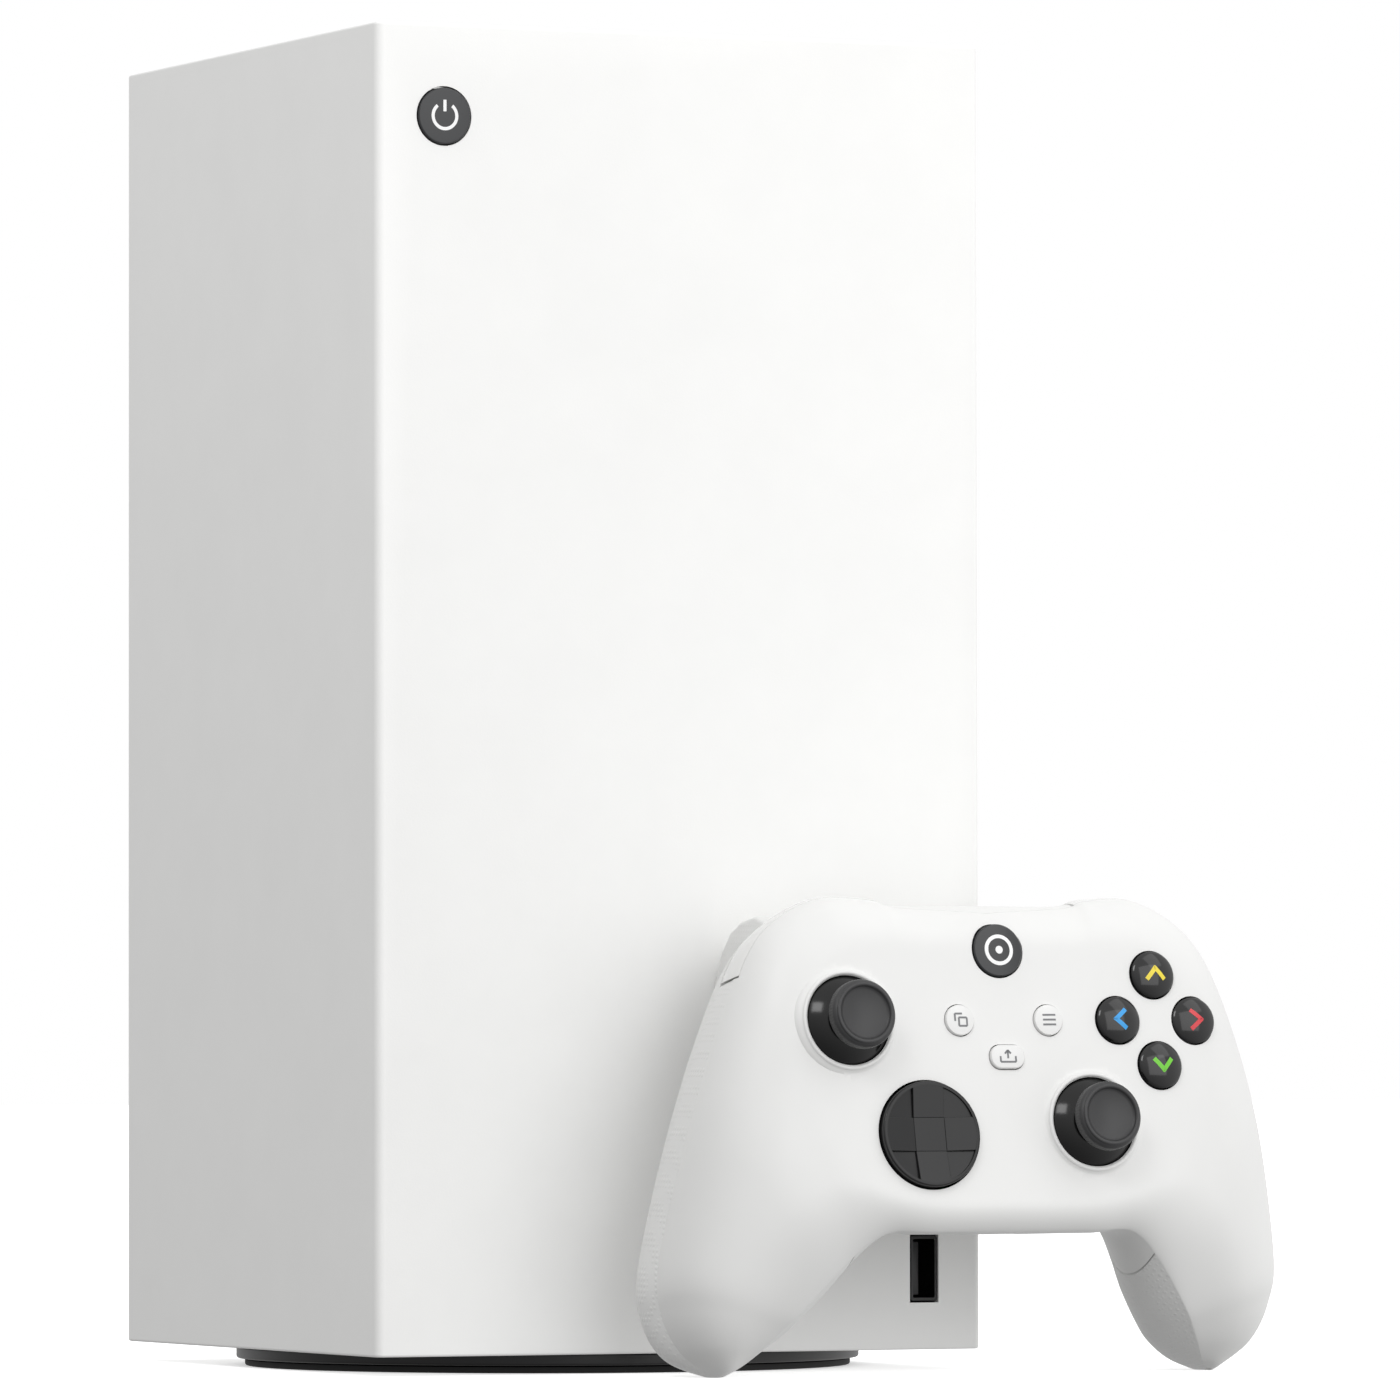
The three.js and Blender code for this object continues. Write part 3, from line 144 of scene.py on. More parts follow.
# ---------------------------------------------------------------- materials
def linear(colour):
    """An sRGB hex string or triple as linear RGBA."""
    if isinstance(colour, str):
        colour = [int(colour[i : i + 2], 16) / 255 for i in (0, 2, 4)]
    return [c / 12.92 if c <= 0.04045 else ((c + 0.055) / 1.055) ** 2.4 for c in colour] + [1.0]


def add(tree, kind, settings=None, **links):
    """Adds a node. A setting whose name is an input goes to its socket, any other to the node itself."""
    node = tree.nodes.new("ShaderNode" + kind)
    for name, value in (settings or {}).items():
        if isinstance(name, str) and hasattr(node, name):
            setattr(node, name, value)
        else:
            node.inputs[name].default_value = value
    for name, source in links.items():
        key = name.replace("_", " ")
        tree.links.new(source, node.inputs[int(key[1:]) if key[0] == "n" and key[1:].isdigit() else key])
    return node


def plastic(
    name, colour, roughness, grain=0.0, grain_depth=0.0, spec=0.5, coat=0.0, metallic=0.0, mottle=0.03,
    dots=None,
):
    """A moulded surface: colour with a faint mottle, roughness that varies a little, a fine grain.

    grain is the size of the mould's texture in mm, dots the spacing of a raised dot pattern in mm."""
    material = bpy.data.materials.new(name)
    material.use_nodes = True
    tree = material.node_tree
    tree.nodes.clear()
    shader = add(
        tree, "BsdfPrincipled",
        {"Metallic": metallic, "Specular IOR Level": spec, "Coat Weight": coat, "Coat Roughness": 0.03},
    )
    place = add(tree, "TexCoord").outputs["Object"]
    cloud = add(tree, "TexNoise", {"Scale": 45.0, "Detail": 3.0, "Roughness": 0.6}, Vector=place)
    tint = add(tree, "Mix", {"data_type": "RGBA"}, n0=cloud.outputs["Fac"])
    base = linear(colour)
    tint.inputs[6].default_value = [c * (1 - mottle) for c in base[:3]] + [1]
    tint.inputs[7].default_value = [min(c * (1 + mottle), 1) for c in base[:3]] + [1]
    tree.links.new(tint.outputs[2], shader.inputs["Base Color"])
    rough = add(
        tree, "MapRange", {"To Min": roughness * 0.9, "To Max": roughness * 1.12}, Value=cloud.outputs["Fac"]
    )
    tree.links.new(rough.outputs["Result"], shader.inputs["Roughness"])
    normal = None
    if grain:
        fine = add(
            tree, "TexNoise", {"Scale": 1 / (grain * MM), "Detail": 2.0, "Roughness": 0.55}, Vector=place
        )
        normal = add(tree, "Bump", {"Strength": 0.35, "Distance": grain_depth * MM}, Height=fine.outputs["Fac"])
    if dots:
        cells = add(tree, "TexVoronoi", {"Scale": 1 / (dots * MM), "Randomness": 0.0}, Vector=place)
        bead = add(
            tree, "MapRange", {"From Min": 0.2, "From Max": 0.42, "To Min": 1.0, "To Max": 0.0},
            Value=cells.outputs["Distance"],
        )
        settings = {"Strength": 0.6, "Distance": 0.12 * MM}
        if normal:
            normal = add(tree, "Bump", settings, Height=bead.outputs["Result"], Normal=normal.outputs["Normal"])
        else:
            normal = add(tree, "Bump", settings, Height=bead.outputs["Result"])
    if normal:
        tree.links.new(normal.outputs["Normal"], shader.inputs["Normal"])
    out = add(tree, "OutputMaterial")
    tree.links.new(shader.outputs["BSDF"], out.inputs["Surface"])
    return material


def surface(material):
    """The shader node of a material."""
    return next(n for n in material.node_tree.nodes if n.type == "BSDF_PRINCIPLED")


def brushed(name, colour, roughness, along=(1, 1, 60)):
    """Sheet or cast metal: stretched fine scratches as a bump on the surface."""
    material = plastic(name, colour, roughness, metallic=1.0, mottle=0.05)
    tree = material.node_tree
    place = add(tree, "TexCoord").outputs["Object"]
    stretched = add(tree, "Mapping", {"Scale": along}, Vector=place)
    lines = add(tree, "TexNoise", {"Scale": 300.0, "Detail": 2.0}, Vector=stretched.outputs["Vector"])
    bump = add(tree, "Bump", {"Strength": 0.15, "Distance": 0.02 * MM}, Height=lines.outputs["Fac"])
    tree.links.new(bump.outputs["Normal"], surface(material).inputs["Normal"])
    return material


def circuit(name):
    """Green solder mask over copper tracks: faint squared lines of a lighter green, half gloss."""
    material = plastic(name, "0f4a2c", 0.35)
    tree = material.node_tree
    place = add(tree, "TexCoord").outputs["Object"]
    tracks = add(tree, "TexBrick", {"Scale": 60.0, "Mortar Size": 0.03}, Vector=place)
    tracks.inputs["Color1"].default_value = linear("0f4a2c")
    tracks.inputs["Color2"].default_value = linear("135634")
    tracks.inputs["Mortar"].default_value = linear("2c7a4c")
    tree.links.new(tracks.outputs["Color"], surface(material).inputs["Base Color"])
    return material


MATERIALS = {}


def make_materials(colours):
    """Every finish of the object, by a short name."""
    make = {
        # ABS with a spark-eroded mould: matt, a fine even grain that only shows where light grazes it
        "case": plastic("abs_white_fine_grain", colours.case, 0.52, grain=0.5, grain_depth=0.05),
        # the controller's ABS is a little smoother, so its curves carry a soft highlight
        "shell": plastic("abs_white_satin", colours.shell, 0.4, grain=0.4, grain_depth=0.02),
        # the grips' backs and triggers have small raised dots on the same plastic
        "grip": plastic("abs_white_dotted", colours.shell, 0.46, grain=0.4, grain_depth=0.02, dots=1.3),
        # bumpers and keys: the same white, polished in the mould
        "gloss_white": plastic("abs_white_polished", colours.shell, 0.22, spec=0.5),
        # clear lacquer over black: deep, with mirror-like reflections
        "gloss_black": plastic("polycarbonate_black_polished", "0b0b0c", 0.12, coat=0.25, mottle=0.0),
        "dpad": plastic("polycarbonate_black_hazed", "161617", 0.3, spec=0.4, grain=0.3, grain_depth=0.01),
        # soft-touch thumb rest: dark, broad dim highlight
        "stick": plastic("elastomer_black_satin", "303031", 0.42, grain=0.35, grain_depth=0.03),
        "dome": plastic("acetal_black_polished", "060606", 0.14, spec=0.45, mottle=0.0),
        "dark_key": plastic("polycarbonate_charcoal", "2e2f31", 0.3, mottle=0.02),
        "black": plastic("abs_black_satin", "0d0d0e", 0.4, grain=0.4, grain_depth=0.03),
        "rubber": plastic("silicone_rubber_black", "161616", 0.8, grain=0.8, grain_depth=0.08),
        "steel": brushed("steel_sheet", "b9bcc0", 0.34),
        "aluminium": brushed("aluminium_cast", "b4b7ba", 0.45, along=(1, 40, 1)),
        "board": circuit("glass_fibre_board_green"),
        "grey": plastic("nylon_grey", "6a6c70", 0.55),
        "cell": plastic("printed_cell_wrap", "2a2d31", 0.3, mottle=0.05),
        "ink_white": plastic("pad_print_white", "f2f2f2", 0.45, mottle=0.0),
        "ink_grey": plastic("pad_print_grey", "77787a", 0.5, mottle=0.0),
        "ink_yellow": plastic("moulded_insert_yellow", "e8d33c", 0.35, mottle=0.02),
        "ink_red": plastic("moulded_insert_red", "d33a42", 0.35, mottle=0.02),
        "ink_green": plastic("moulded_insert_green", "6cc62f", 0.35, mottle=0.02),
        "ink_blue": plastic("moulded_insert_blue", "2f9be0", 0.35, mottle=0.02),
    }
    MATERIALS.update(make)


# ---------------------------------------------------------------- mesh helpers, all in mm
def round_off(bm, edges, offset, segments=2):
    """Bevels edges to a round."""
    form = {"affect": "EDGES", "profile": 0.5, "material": -1, "clamp_overlap": True}
    bmesh.ops.bevel(bm, geom=edges, offset=offset, segments=segments, **form)


def lathe(profile, steps=64):
    """A closed profile of (radius, height) points spun about z."""
    bm = bmesh.new()
    verts = [bm.verts.new((r, 0, h)) for r, h in profile]
    edges = [bm.edges.new(pair) for pair in zip(verts, verts[1:])]
    bmesh.ops.spin(
        bm, geom=verts + edges, cent=(0, 0, 0), axis=(0, 0, 1), angle=TURN, steps=steps, use_merge=True
    )
    bmesh.ops.remove_doubles(bm, verts=bm.verts[:], dist=1e-4)
    bmesh.ops.recalc_face_normals(bm, faces=bm.faces[:])
    return bm


def arc(centre, radius, start, end, steps):
    """Points of an arc in the (radius, height) plane, angles in degrees from the r axis."""
    spread = [math.radians(start + (end - start) * i / steps) for i in range(steps + 1)]
    return [(centre[0] + radius * math.cos(a), centre[1] + radius * math.sin(a)) for a in spread]


def rounded(width, height, radius, x=0.0, y=0.0, steps=6):
    """An outline: a rectangle with round corners."""
    points = []
    for quarter, (sx, sy) in enumerate(((1, 1), (-1, 1), (-1, -1), (1, -1))):
        for i in range(steps + 1):
            a = math.pi / 2 * (quarter + i / steps)
            across = sx * (width / 2 - radius) + radius * math.cos(a)
            up = sy * (height / 2 - radius) + radius * math.sin(a)
            points.append((x + across, y + up))
    return points


def prism(outline, low, high, bevel=0.0, segments=3):
    """An outline of (x, y) points pushed from z = low to z = high, both rims bevelled."""
    bm = bmesh.new()
    face = bm.faces.new([bm.verts.new((x, y, low)) for x, y in outline])
    grown = bmesh.ops.extrude_face_region(bm, geom=[face])["geom"]
    bmesh.ops.translate(
        bm, vec=(0, 0, high - low), verts=[g for g in grown if isinstance(g, bmesh.types.BMVert)]
    )
    bmesh.ops.recalc_face_normals(bm, faces=bm.faces[:])
    if bevel:
        rims = [e for e in bm.edges if abs(e.verts[0].co.z - e.verts[1].co.z) < 1e-6]
        round_off(bm, rims, bevel, segments)
    return bm


def box(low, high, bevel=0.0):
    bm = bmesh.new()
    bmesh.ops.create_cube(bm, size=1.0)
    size = [b - a for a, b in zip(low, high)]
    bmesh.ops.scale(bm, vec=size, verts=bm.verts[:])
    bmesh.ops.translate(bm, vec=[(a + b) / 2 for a, b in zip(low, high)], verts=bm.verts[:])
    if bevel:
        round_off(bm, bm.edges[:], bevel)
    return bm


def drum(radius, low, high, x=0.0, y=0.0, steps=48):
    bm = bmesh.new()
    bmesh.ops.create_cone(bm, cap_ends=True, segments=steps, radius1=radius, radius2=radius, depth=high - low)
    bmesh.ops.translate(bm, vec=(x, y, (low + high) / 2), verts=bm.verts[:])
    return bm


def placed(bm, matrix):
    bmesh.ops.transform(bm, matrix=matrix, verts=bm.verts[:])
    if matrix.determinant() < 0:
        bmesh.ops.reverse_faces(bm, faces=bm.faces[:])
    return bm


def shift(bm, x=0.0, y=0.0, z=0.0):
    bmesh.ops.translate(bm, vec=(x, y, z), verts=bm.verts[:])
    return bm


def together(parts):
    """Several meshes as one."""
    whole = bmesh.new()
    for part in parts:
        scratch = bpy.data.meshes.new("scratch")
        part.to_mesh(scratch)
        part.free()
        whole.from_mesh(scratch)
        bpy.data.meshes.remove(scratch)
    return whole


def as_object(bm, name):
    mesh = bpy.data.meshes.new(name)
    bm.to_mesh(mesh)
    bm.free()
    obj = bpy.data.objects.new(name, mesh)
    bpy.context.collection.objects.link(obj)
    return obj


def boolean(bm, tool, operation="DIFFERENCE", self_overlap=False):
    """bm cut by, joined to or kept inside tool, which is used up."""
    body, cutter = as_object(bm, "body"), as_object(tool, "cutter")
    step = body.modifiers.new("cut", "BOOLEAN")
    step.operation, step.object, step.solver, step.use_self = operation, cutter, "EXACT", self_overlap
    bpy.context.view_layer.update()
    mesh = bpy.data.meshes.new_from_object(body.evaluated_get(bpy.context.evaluated_depsgraph_get()))
    result = bmesh.new()
    result.from_mesh(mesh)
    for obj in (body, cutter):
        old = obj.data
        bpy.data.objects.remove(obj)
        bpy.data.meshes.remove(old)
    bpy.data.meshes.remove(mesh)
    bmesh.ops.remove_doubles(result, verts=result.verts[:], dist=1e-4)
    bmesh.ops.dissolve_degenerate(result, edges=result.edges[:], dist=1e-4)
    if not result.faces:
        raise RuntimeError("a boolean left nothing")
    return result


def on_pad(x, y):
    """A place on the controller's face."""
    return PAD @ Matrix.Translation((x, y, 0))


X_FORWARD = Matrix.Rotation(math.pi / 2, 4, "X")  # z of a mesh comes out of the console's front
PRISM_ALONG_X = Matrix(((0, 0, 1, 0), (0, 1, 0, 0), (-1, 0, 0, 0), (0, 0, 0, 1)))


def piece(name, bm, body, finish, nodes=(), at=None, sharp=32.0):
    """Makes the finished object in metres. finish is a name, or a list of names for more than one."""
    if at is not None:
        placed(bm, at)
    bmesh.ops.scale(bm, vec=(MM, MM, MM), verts=bm.verts[:])
    for face in bm.faces:
        face.smooth = True
    for edge in bm.edges:
        edge.smooth = len(edge.link_faces) == 2 and edge.calc_face_angle(0) < math.radians(sharp)
    obj = as_object(bm, name)
    for kind in [finish] if isinstance(finish, str) else finish:
        obj.data.materials.append(MATERIALS[kind])
    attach(obj, body)
    if nodes:
        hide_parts(*nodes)
    return obj


def inlaid(base, marks):
    """base with marks on it, whose faces take the second material, third and so on."""
    for index, mark in enumerate(marks, start=1):
        for face in mark.faces:
            face.material_index = index
    return together([base, *marks])


# ---------------------------------------------------------------- symbols
def stroke(x0, y0, x1, y1, width, thick=0.12, cuts=4):
    """A straight bar between two points, lying on z = 0, with enough cuts to follow a curved face."""
    length = math.dist((x0, y0), (x1, y1))
    bm = bmesh.new()
    bmesh.ops.create_cube(bm, size=1.0)
    bmesh.ops.scale(bm, vec=(length, width, thick), verts=bm.verts[:])
    long_edges = [e for e in bm.edges if abs(e.verts[0].co.x - e.verts[1].co.x) > 0.5 * length]
    bmesh.ops.subdivide_edges(bm, edges=long_edges, cuts=cuts)
    turn = Matrix.Rotation(math.atan2(y1 - y0, x1 - x0), 4, "Z")
    return placed(bm, Matrix.Translation(((x0 + x1) / 2, (y0 + y1) / 2, 0)) @ turn)


def ring(radius, width, start=0.0, end=360.0, thick=0.12, steps=48):
    """A flat ring, or a stretch of one from start to end in degrees."""
    bm = bmesh.new()
    half = width / 2
    near, far, top = radius - half, radius + half, thick / 2
    section = [(near, -top), (far, -top), (far, top), (near, top)]
    verts = [bm.verts.new((r, 0, z)) for r, z in section]
    face = bm.faces.new(verts)
    bmesh.ops.rotate(bm, cent=(0, 0, 0), matrix=Matrix.Rotation(math.radians(start), 3, "Z"), verts=verts)
    whole = end - start >= 360
    section_parts = verts + list(face.edges) + ([] if whole else [face])
    sweep = math.radians(end - start)
    bmesh.ops.spin(
        bm, geom=section_parts, cent=(0, 0, 0), axis=(0, 0, 1), angle=sweep, steps=steps, use_merge=whole
    )
    if whole:
        bmesh.ops.delete(bm, geom=[face], context="FACES_ONLY")
    bmesh.ops.recalc_face_normals(bm, faces=bm.faces[:])
    return bm


def on_face(bm, height):
    """Lifts a flat mark by height(x, y), so that it follows a domed key."""
    for vert in bm.verts:
        vert.co.z += height(vert.co.x, vert.co.y)
    return bm


def power_symbol(radius, width):
    gap = 38  # half of the opening at the top, degrees
    return [ring(radius, width, 90 + gap, 450 - gap), stroke(0, radius * 0.35, 0, radius * 1.25, width)]


def studio_air(name):
    """White all round, dimmer from the left and from below, so that those sides fall into a light shade."""
    world = bpy.data.worlds.new(name)
    world.use_nodes = True
    tree = world.node_tree
    tree.nodes.clear()
    way = add(tree, "TexCoord").outputs["Generated"]
    bright_side = add(tree, "VectorMath", {"operation": "DOT_PRODUCT", 1: (0.5, 0.0, 0.87)}, n0=way)
    level = add(
        tree, "MapRange",
        {"interpolation_type": "SMOOTHSTEP", "From Min": -1.1, "From Max": 0.5, "To Min": 0.25, "To Max": 1.0},
        Value=bright_side.outputs["Value"],
    )
    light = add(tree, "Background", {"Color": (1, 1, 1, 1)}, Strength=level.outputs["Result"])
    paper = add(tree, "Background", {"Color": (1, 1, 1, 1), "Strength": 1.0})
    seen = add(tree, "LightPath").outputs["Is Camera Ray"]
    mix = add(tree, "MixShader", n0=seen, n1=light.outputs["Background"], n2=paper.outputs["Background"])
    out = add(tree, "OutputWorld")
    tree.links.new(mix.outputs["Shader"], out.inputs["Surface"])
    return world


# ---------------------------------------------------------------- console
class CONSOLE_OT_stage(bpy.types.Operator):
    """Floor, backdrop, soft lights and the camera"""

    bl_idname = "console.stage"
    bl_label = "Stage"

    def execute(self, context):
        floor = bmesh.new()
        bmesh.ops.create_grid(floor, x_segments=1, y_segments=1, size=9.0)
        ground = as_object(floor, "floor")
        paper = plastic("paper_white", "ffffff", 0.9, mottle=0.0)
        glow = surface(paper)
        glow.inputs["Emission Color"].default_value = (1, 1, 1, 1)
        glow.inputs["Emission Strength"].default_value = 0.5  # lit through, so it stays white at any distance
        ground.data.materials.append(paper)
        # a bright floor would light the grips from below
        ground.visible_diffuse = ground.visible_glossy = False
        context.scene.world = studio_air("soft_white")
        context.scene.view_settings.view_transform = "Standard"
        # name, place, size, watts: the key from the right and above, a wide one in front, and a window on
        # the left for the glints on the black keys
        lamps = (
            ("key", (1.2, -1.5, 2.2), (1.6, 1.6), 6.5),
            ("front", (0.6, -3.0, 1.0), (2.8, 2.8), 26),
            ("window", (-1.15, -1.25, 1.4), (0.6, 0.6), 5.5),
        )
        for name, place, size, watts in lamps:
            light = bpy.data.lights.new(name, "AREA")
            light.shape = "RECTANGLE"
            light.size, light.size_y = size
            light.energy = watts
            lamp = bpy.data.objects.new(name, light)
            lamp.location = place
            lamp.rotation_euler = (Vector((0, 0, 0.15)) - Vector(place)).to_track_quat("-Z", "Y").to_euler()
            context.collection.objects.link(lamp)
        camera = bpy.data.cameras.new("camera")
        camera.sensor_width = 36.0
        camera.lens = 278.07
        camera.clip_end = 50.0
        view = bpy.data.objects.new("camera", camera)
        heading, rise, roll = (math.radians(a) for a in (24.831, 1.783, -0.08))
        turns = ((-heading, "Z"), (math.pi / 2 + rise, "X"), (roll, "Z"))
        about_z, about_x, about_view = (Matrix.Rotation(angle, 3, axis) for angle, axis in turns)
        view.rotation_euler = (about_z @ about_x @ about_view).to_euler()
        view.location = (-1.02785, -2.30645, 0.07625)
        context.collection.objects.link(view)
        context.scene.camera = view
        return {"FINISHED"}


class CONSOLE_OT_casing(bpy.types.Operator):
    """Square casing with round corners, open behind, with its openings"""

    bl_idname = "console.casing"
    bl_label = "Casing"

    def execute(self, context):
        sizes = context.scene.console_sizes
        width, depth = CASE_HIGH.x - CASE_LOW.x, CASE_HIGH.y - CASE_LOW.y
        body = prism(rounded(width, depth, sizes.corner, steps=8), CASE_LOW.z, TOP, bevel=sizes.rim)
        grille, socket = corners("top_grille"), corners("data_socket_front")
        power, sync = middle("power_button"), middle("sync_button")
        opening = box(
            (CASE_LOW.x + WALL, FRONT + WALL, CASE_LOW.z + WALL),
            (CASE_HIGH.x - WALL, CASE_HIGH.y + 1, TOP - WALL),
        )
        tools = [
            drum(grille[1].y + SEAM, TOP - 10, TOP + 10, steps=128),
            drum(FOOT_NECK + 0.4, CASE_LOW.z - 5, CASE_LOW.z + 6, steps=96),
            placed(
                drum(POWER_RADIUS + SEAM, -8, 8, steps=64),
                Matrix.Translation((power.x, FRONT, power.z)) @ X_FORWARD,
            ),
            placed(
                drum(SYNC_RADIUS + SEAM, -8, 8, steps=48),
                Matrix.Translation((sync.x, FRONT, sync.z)) @ X_FORWARD,
            ),
            box(
                (socket[0].x - SEAM, FRONT - 2, socket[0].z - SEAM),
                (socket[1].x + SEAM, FRONT + 8, socket[1].z + SEAM),
            ),
        ]
        body = boolean(boolean(body, opening), together(tools))
        piece("casing_shell", body, "console", "case", ["casing"])
        return {"FINISHED"}


class CONSOLE_OT_grille(bpy.types.Operator):
    """Dished round air grille in the top"""

    bl_idname = "console.grille"
    bl_label = "Top grille"

    def execute(self, context):
        sizes = context.scene.console_sizes
        radius = corners("top_grille")[1].y
        thick = 2.6
        rings = 12
        dish = [(radius * i / rings, TOP - sizes.dish * (1 - (i / rings) ** 2)) for i in range(rings + 1)]
        under = [(r, h - thick) for r, h in dish]
        body = lathe([*under, *reversed(dish)], steps=128)
        reach = int(radius // sizes.air_pitch)
        spots = [
            (
                i * sizes.air_pitch, j * sizes.air_pitch
            ) for i in range(-reach, reach + 1) for j in range(-reach, reach + 1)
        ]
        holes = [
            drum(sizes.air_radius, TOP - 20, TOP + 5, x, y, steps=24)
            for x, y in spots
            if math.hypot(x, y) + sizes.air_radius + 1.2 < radius
        ]
        piece("air_grille", boolean(body, together(holes)), "console", "case", ["top_grille"])
        return {"FINISHED"}


class CONSOLE_OT_rear(bpy.types.Operator):
    """Rear cover with air slots and the sockets' openings"""

    bl_idname = "console.rear"
    bl_label = "Rear cover"

    def execute(self, context):
        low, high = corners("rear_cover")
        sheet = prism(
            rounded(high.x - low.x, high.z - low.z, 1.5, 0, (low.z + high.z) / 2), 0, high.y - low.y, bevel=0.3
        )
        turn = Matrix.Translation((0, high.y, 0)) @ X_FORWARD
        tools = []
        for node in ("video_socket", "data_sockets_rear", "network_socket", "power_inlet", "expansion_slot"):
            a, b = corners(node)
            tools.append(
                prism(
                    rounded(b.x - a.x + 2 * SEAM, b.z - a.z + 2 * SEAM, 0.6, (a.x + b.x) / 2, (a.z + b.z) / 2),
                    -5, 5,
                )
            )
        for node in ("rear_screw_left", "rear_screw_right"):
            spot = middle(node)
            tools.append(drum(1.8, -5, 5, spot.x, spot.z, steps=32))
        ribs = []
        rows, first, pitch, slot_width, slot_height = 6, 124, 26, 122, 12
        for row in range(rows):
            height = CASE_LOW.z + first + row * pitch
            tools.append(prism(rounded(slot_width, slot_height, 3, 0, height, steps=8), -5, 5))
            ribs += [
                box(
                    (x - 1.1, height - 6.5, 0.5), (x + 1.1, height + 6.5, 2.1), bevel=0.3
                ) for x in range(-50, 51, 10)
            ]
        panel = together([boolean(sheet, together(tools)), *ribs])
        piece("back_panel", placed(panel, turn), "console", "case", ["rear_cover"])
        return {"FINISHED"}


class CONSOLE_OT_foot(bpy.types.Operator):
    """Round black foot and its rubber sole"""

    bl_idname = "console.foot"
    bl_label = "Foot"

    def execute(self, context):
        low, high = corners("foot")
        radius, base = high.y, CASE_LOW.z
        edge = arc((radius - 0.6, low.z + 0.6), 0.6, -90, 0, 4)
        neck = [
            (FOOT_NECK, base - SEAM), (FOOT_NECK, high.z), (FOOT_NECK - 3, high.z), (FOOT_NECK - 3, base - 1)
        ]
        profile = [(30, low.z), *edge, (radius, base - SEAM), *neck, (30, base - 1)]
        piece(
            "foot_ring", lathe([*profile, profile[0]], steps=128), "console", "black", ["foot"]
        )
        sole = corners("foot_pad")[1]
        profile = [(0, 0), *arc((sole.y - 0.5, 0.5), 0.5, -90, 0, 3), (sole.y, sole.z), (0, sole.z)]
        piece("foot_sole", lathe(profile, steps=96), "console", "rubber", ["foot_pad"])
        return {"FINISHED"}


class CONSOLE_OT_front(bpy.types.Operator):
    """Power button, sync button and data socket on the console's front"""

    bl_idname = "console.front"
    bl_label = "Front controls"

    def execute(self, context):
        for name, node, body, finish, slot, radius, proud in (
            (
                "power_key", "power_button", "power_key", ["dark_key", "ink_white"], "button_dark",
                POWER_RADIUS, 0.5,
            ),
            ("sync_key", "sync_button", "sync_key", ["case"], "case_white", SYNC_RADIUS, 0.4),
        ):
            at = Matrix.Translation((middle(node).x, FRONT, middle(node).z)) @ X_FORWARD
            rim = arc((radius - 0.35, proud - 0.35), 0.35, 0, 90, 4)
            cap = lathe(
                [(0, -6), (radius * 0.45, -6), (radius * 0.45, -2.5), (radius, -2.5), *rim, (0, proud)],
                steps=96,
            )
            marks = []
            if name == "power_key":
                marks = [on_face(together(power_symbol(2.9, 0.75)), lambda x, y: proud)]
            piece(name, inlaid(cap, marks), body, finish, [node], at)
        low, high = corners("data_socket_front")
        centre = middle("data_socket_front")
        width, height = high.x - low.x, high.z - low.z
        frame_outline = rounded(width, height, 0.5, centre.x, centre.z)
        mouth = rounded(width - 1.1, height - 1.5, 0.3, centre.x, centre.z)
        at = Matrix.Translation((0, FRONT, 0)) @ X_FORWARD
        shell = boolean(prism(frame_outline, -15, -0.2, bevel=0.15), prism(mouth, -13, 1))
        tongue = box((low.x + 0.9, low.z + 1.4, -14), (low.x + 2.5, high.z - 1.4, -1.4), bevel=0.15)
        piece(
            "front_socket", together([shell, tongue]), "console", "black",
            ["data_socket_front"], at,
        )
        return {"FINISHED"}


# ---------------------------------------------------------------- the controller's body
# A row of cross-sections from the middle to a grip's tip. Each runs from the inner seam (bottom edge and
# insides of the grips) to the outer seam (top edge and outsides). A station holds both seams' points, the
# heights of the face and of the back (near the inner and the outer seam), how far the back bellies out
# past each seam, and how far in from each seam the face and the back take to reach their full height.
STATIONS = (
    ((0, -47.5, -4), (0, 28.6, -13), 0, (-30, -36), (0, 0), (6, 12, 20, 17)),
    ((15, -47.4, -4), (20.5, 28.6, -13), 0, (-30, -36), (0, 0), (6, 12, 20, 17)),
    ((22, -47.3, -4.2), (27.5, 30.2, -13), 0, (-31, -36), (0, 0), (6.5, 13, 20, 17)),
    ((29, -47, -5), (41, 29.8, -13), 0, (-32, -37), (0, 0), (8, 15, 20, 18)),
    ((33.5, -48.6, -6.8), (54, 21.5, -13), -0.3, (-36, -40), (2, 0.5), (12, 21, 18, 18)),
    ((37.8, -52, -9.4), (62.5, 5, -14.5), -1.6, (-42, -44), (3.5, 1), (17, 25, 18, 20)),
    ((42.5, -56.8, -12.4), (70.5, -20.5, -20), -5, (-49, -48), (4.2, 2), (19, 24, 17, 19)),
    ((48.5, -63.4, -17.2), (76, -49, -30), -12.5, (-53, -52), (4, 2.5), (15, 16, 14, 15)),
    ((51.8, -66.9, -21), (75, -60.5, -33), -17, (-53, -52), (3.5, 2.5), (12, 12, 12, 12)),
    ((54.8, -70.1, -25), (70.8, -68.8, -34), -22, (-49, -49), (2.2, 2), (8, 8, 8, 8)),
    ((57.8, -72.9, -29.5), (63.8, -73.9, -34), -28, (-40, -40), (1, 0.5), (3, 3, 3, 3)),
    ((60.6, -74.5, -32.4), (61.8, -74.7, -33.3), -31.8, (-34.2, -34.2), (0, 0), (1, 1, 1, 1)),
)
LAST = len(STATIONS) - 1


def station_row(k):
    row = STATIONS[min(abs(k), LAST)]
    inner, outer, face, back, belly, reach = row
    side = -1 if k < 0 else 1
    return (side * inner[0], *inner[1:], side * outer[0], *outer[1:], face, *back, *belly, *reach)


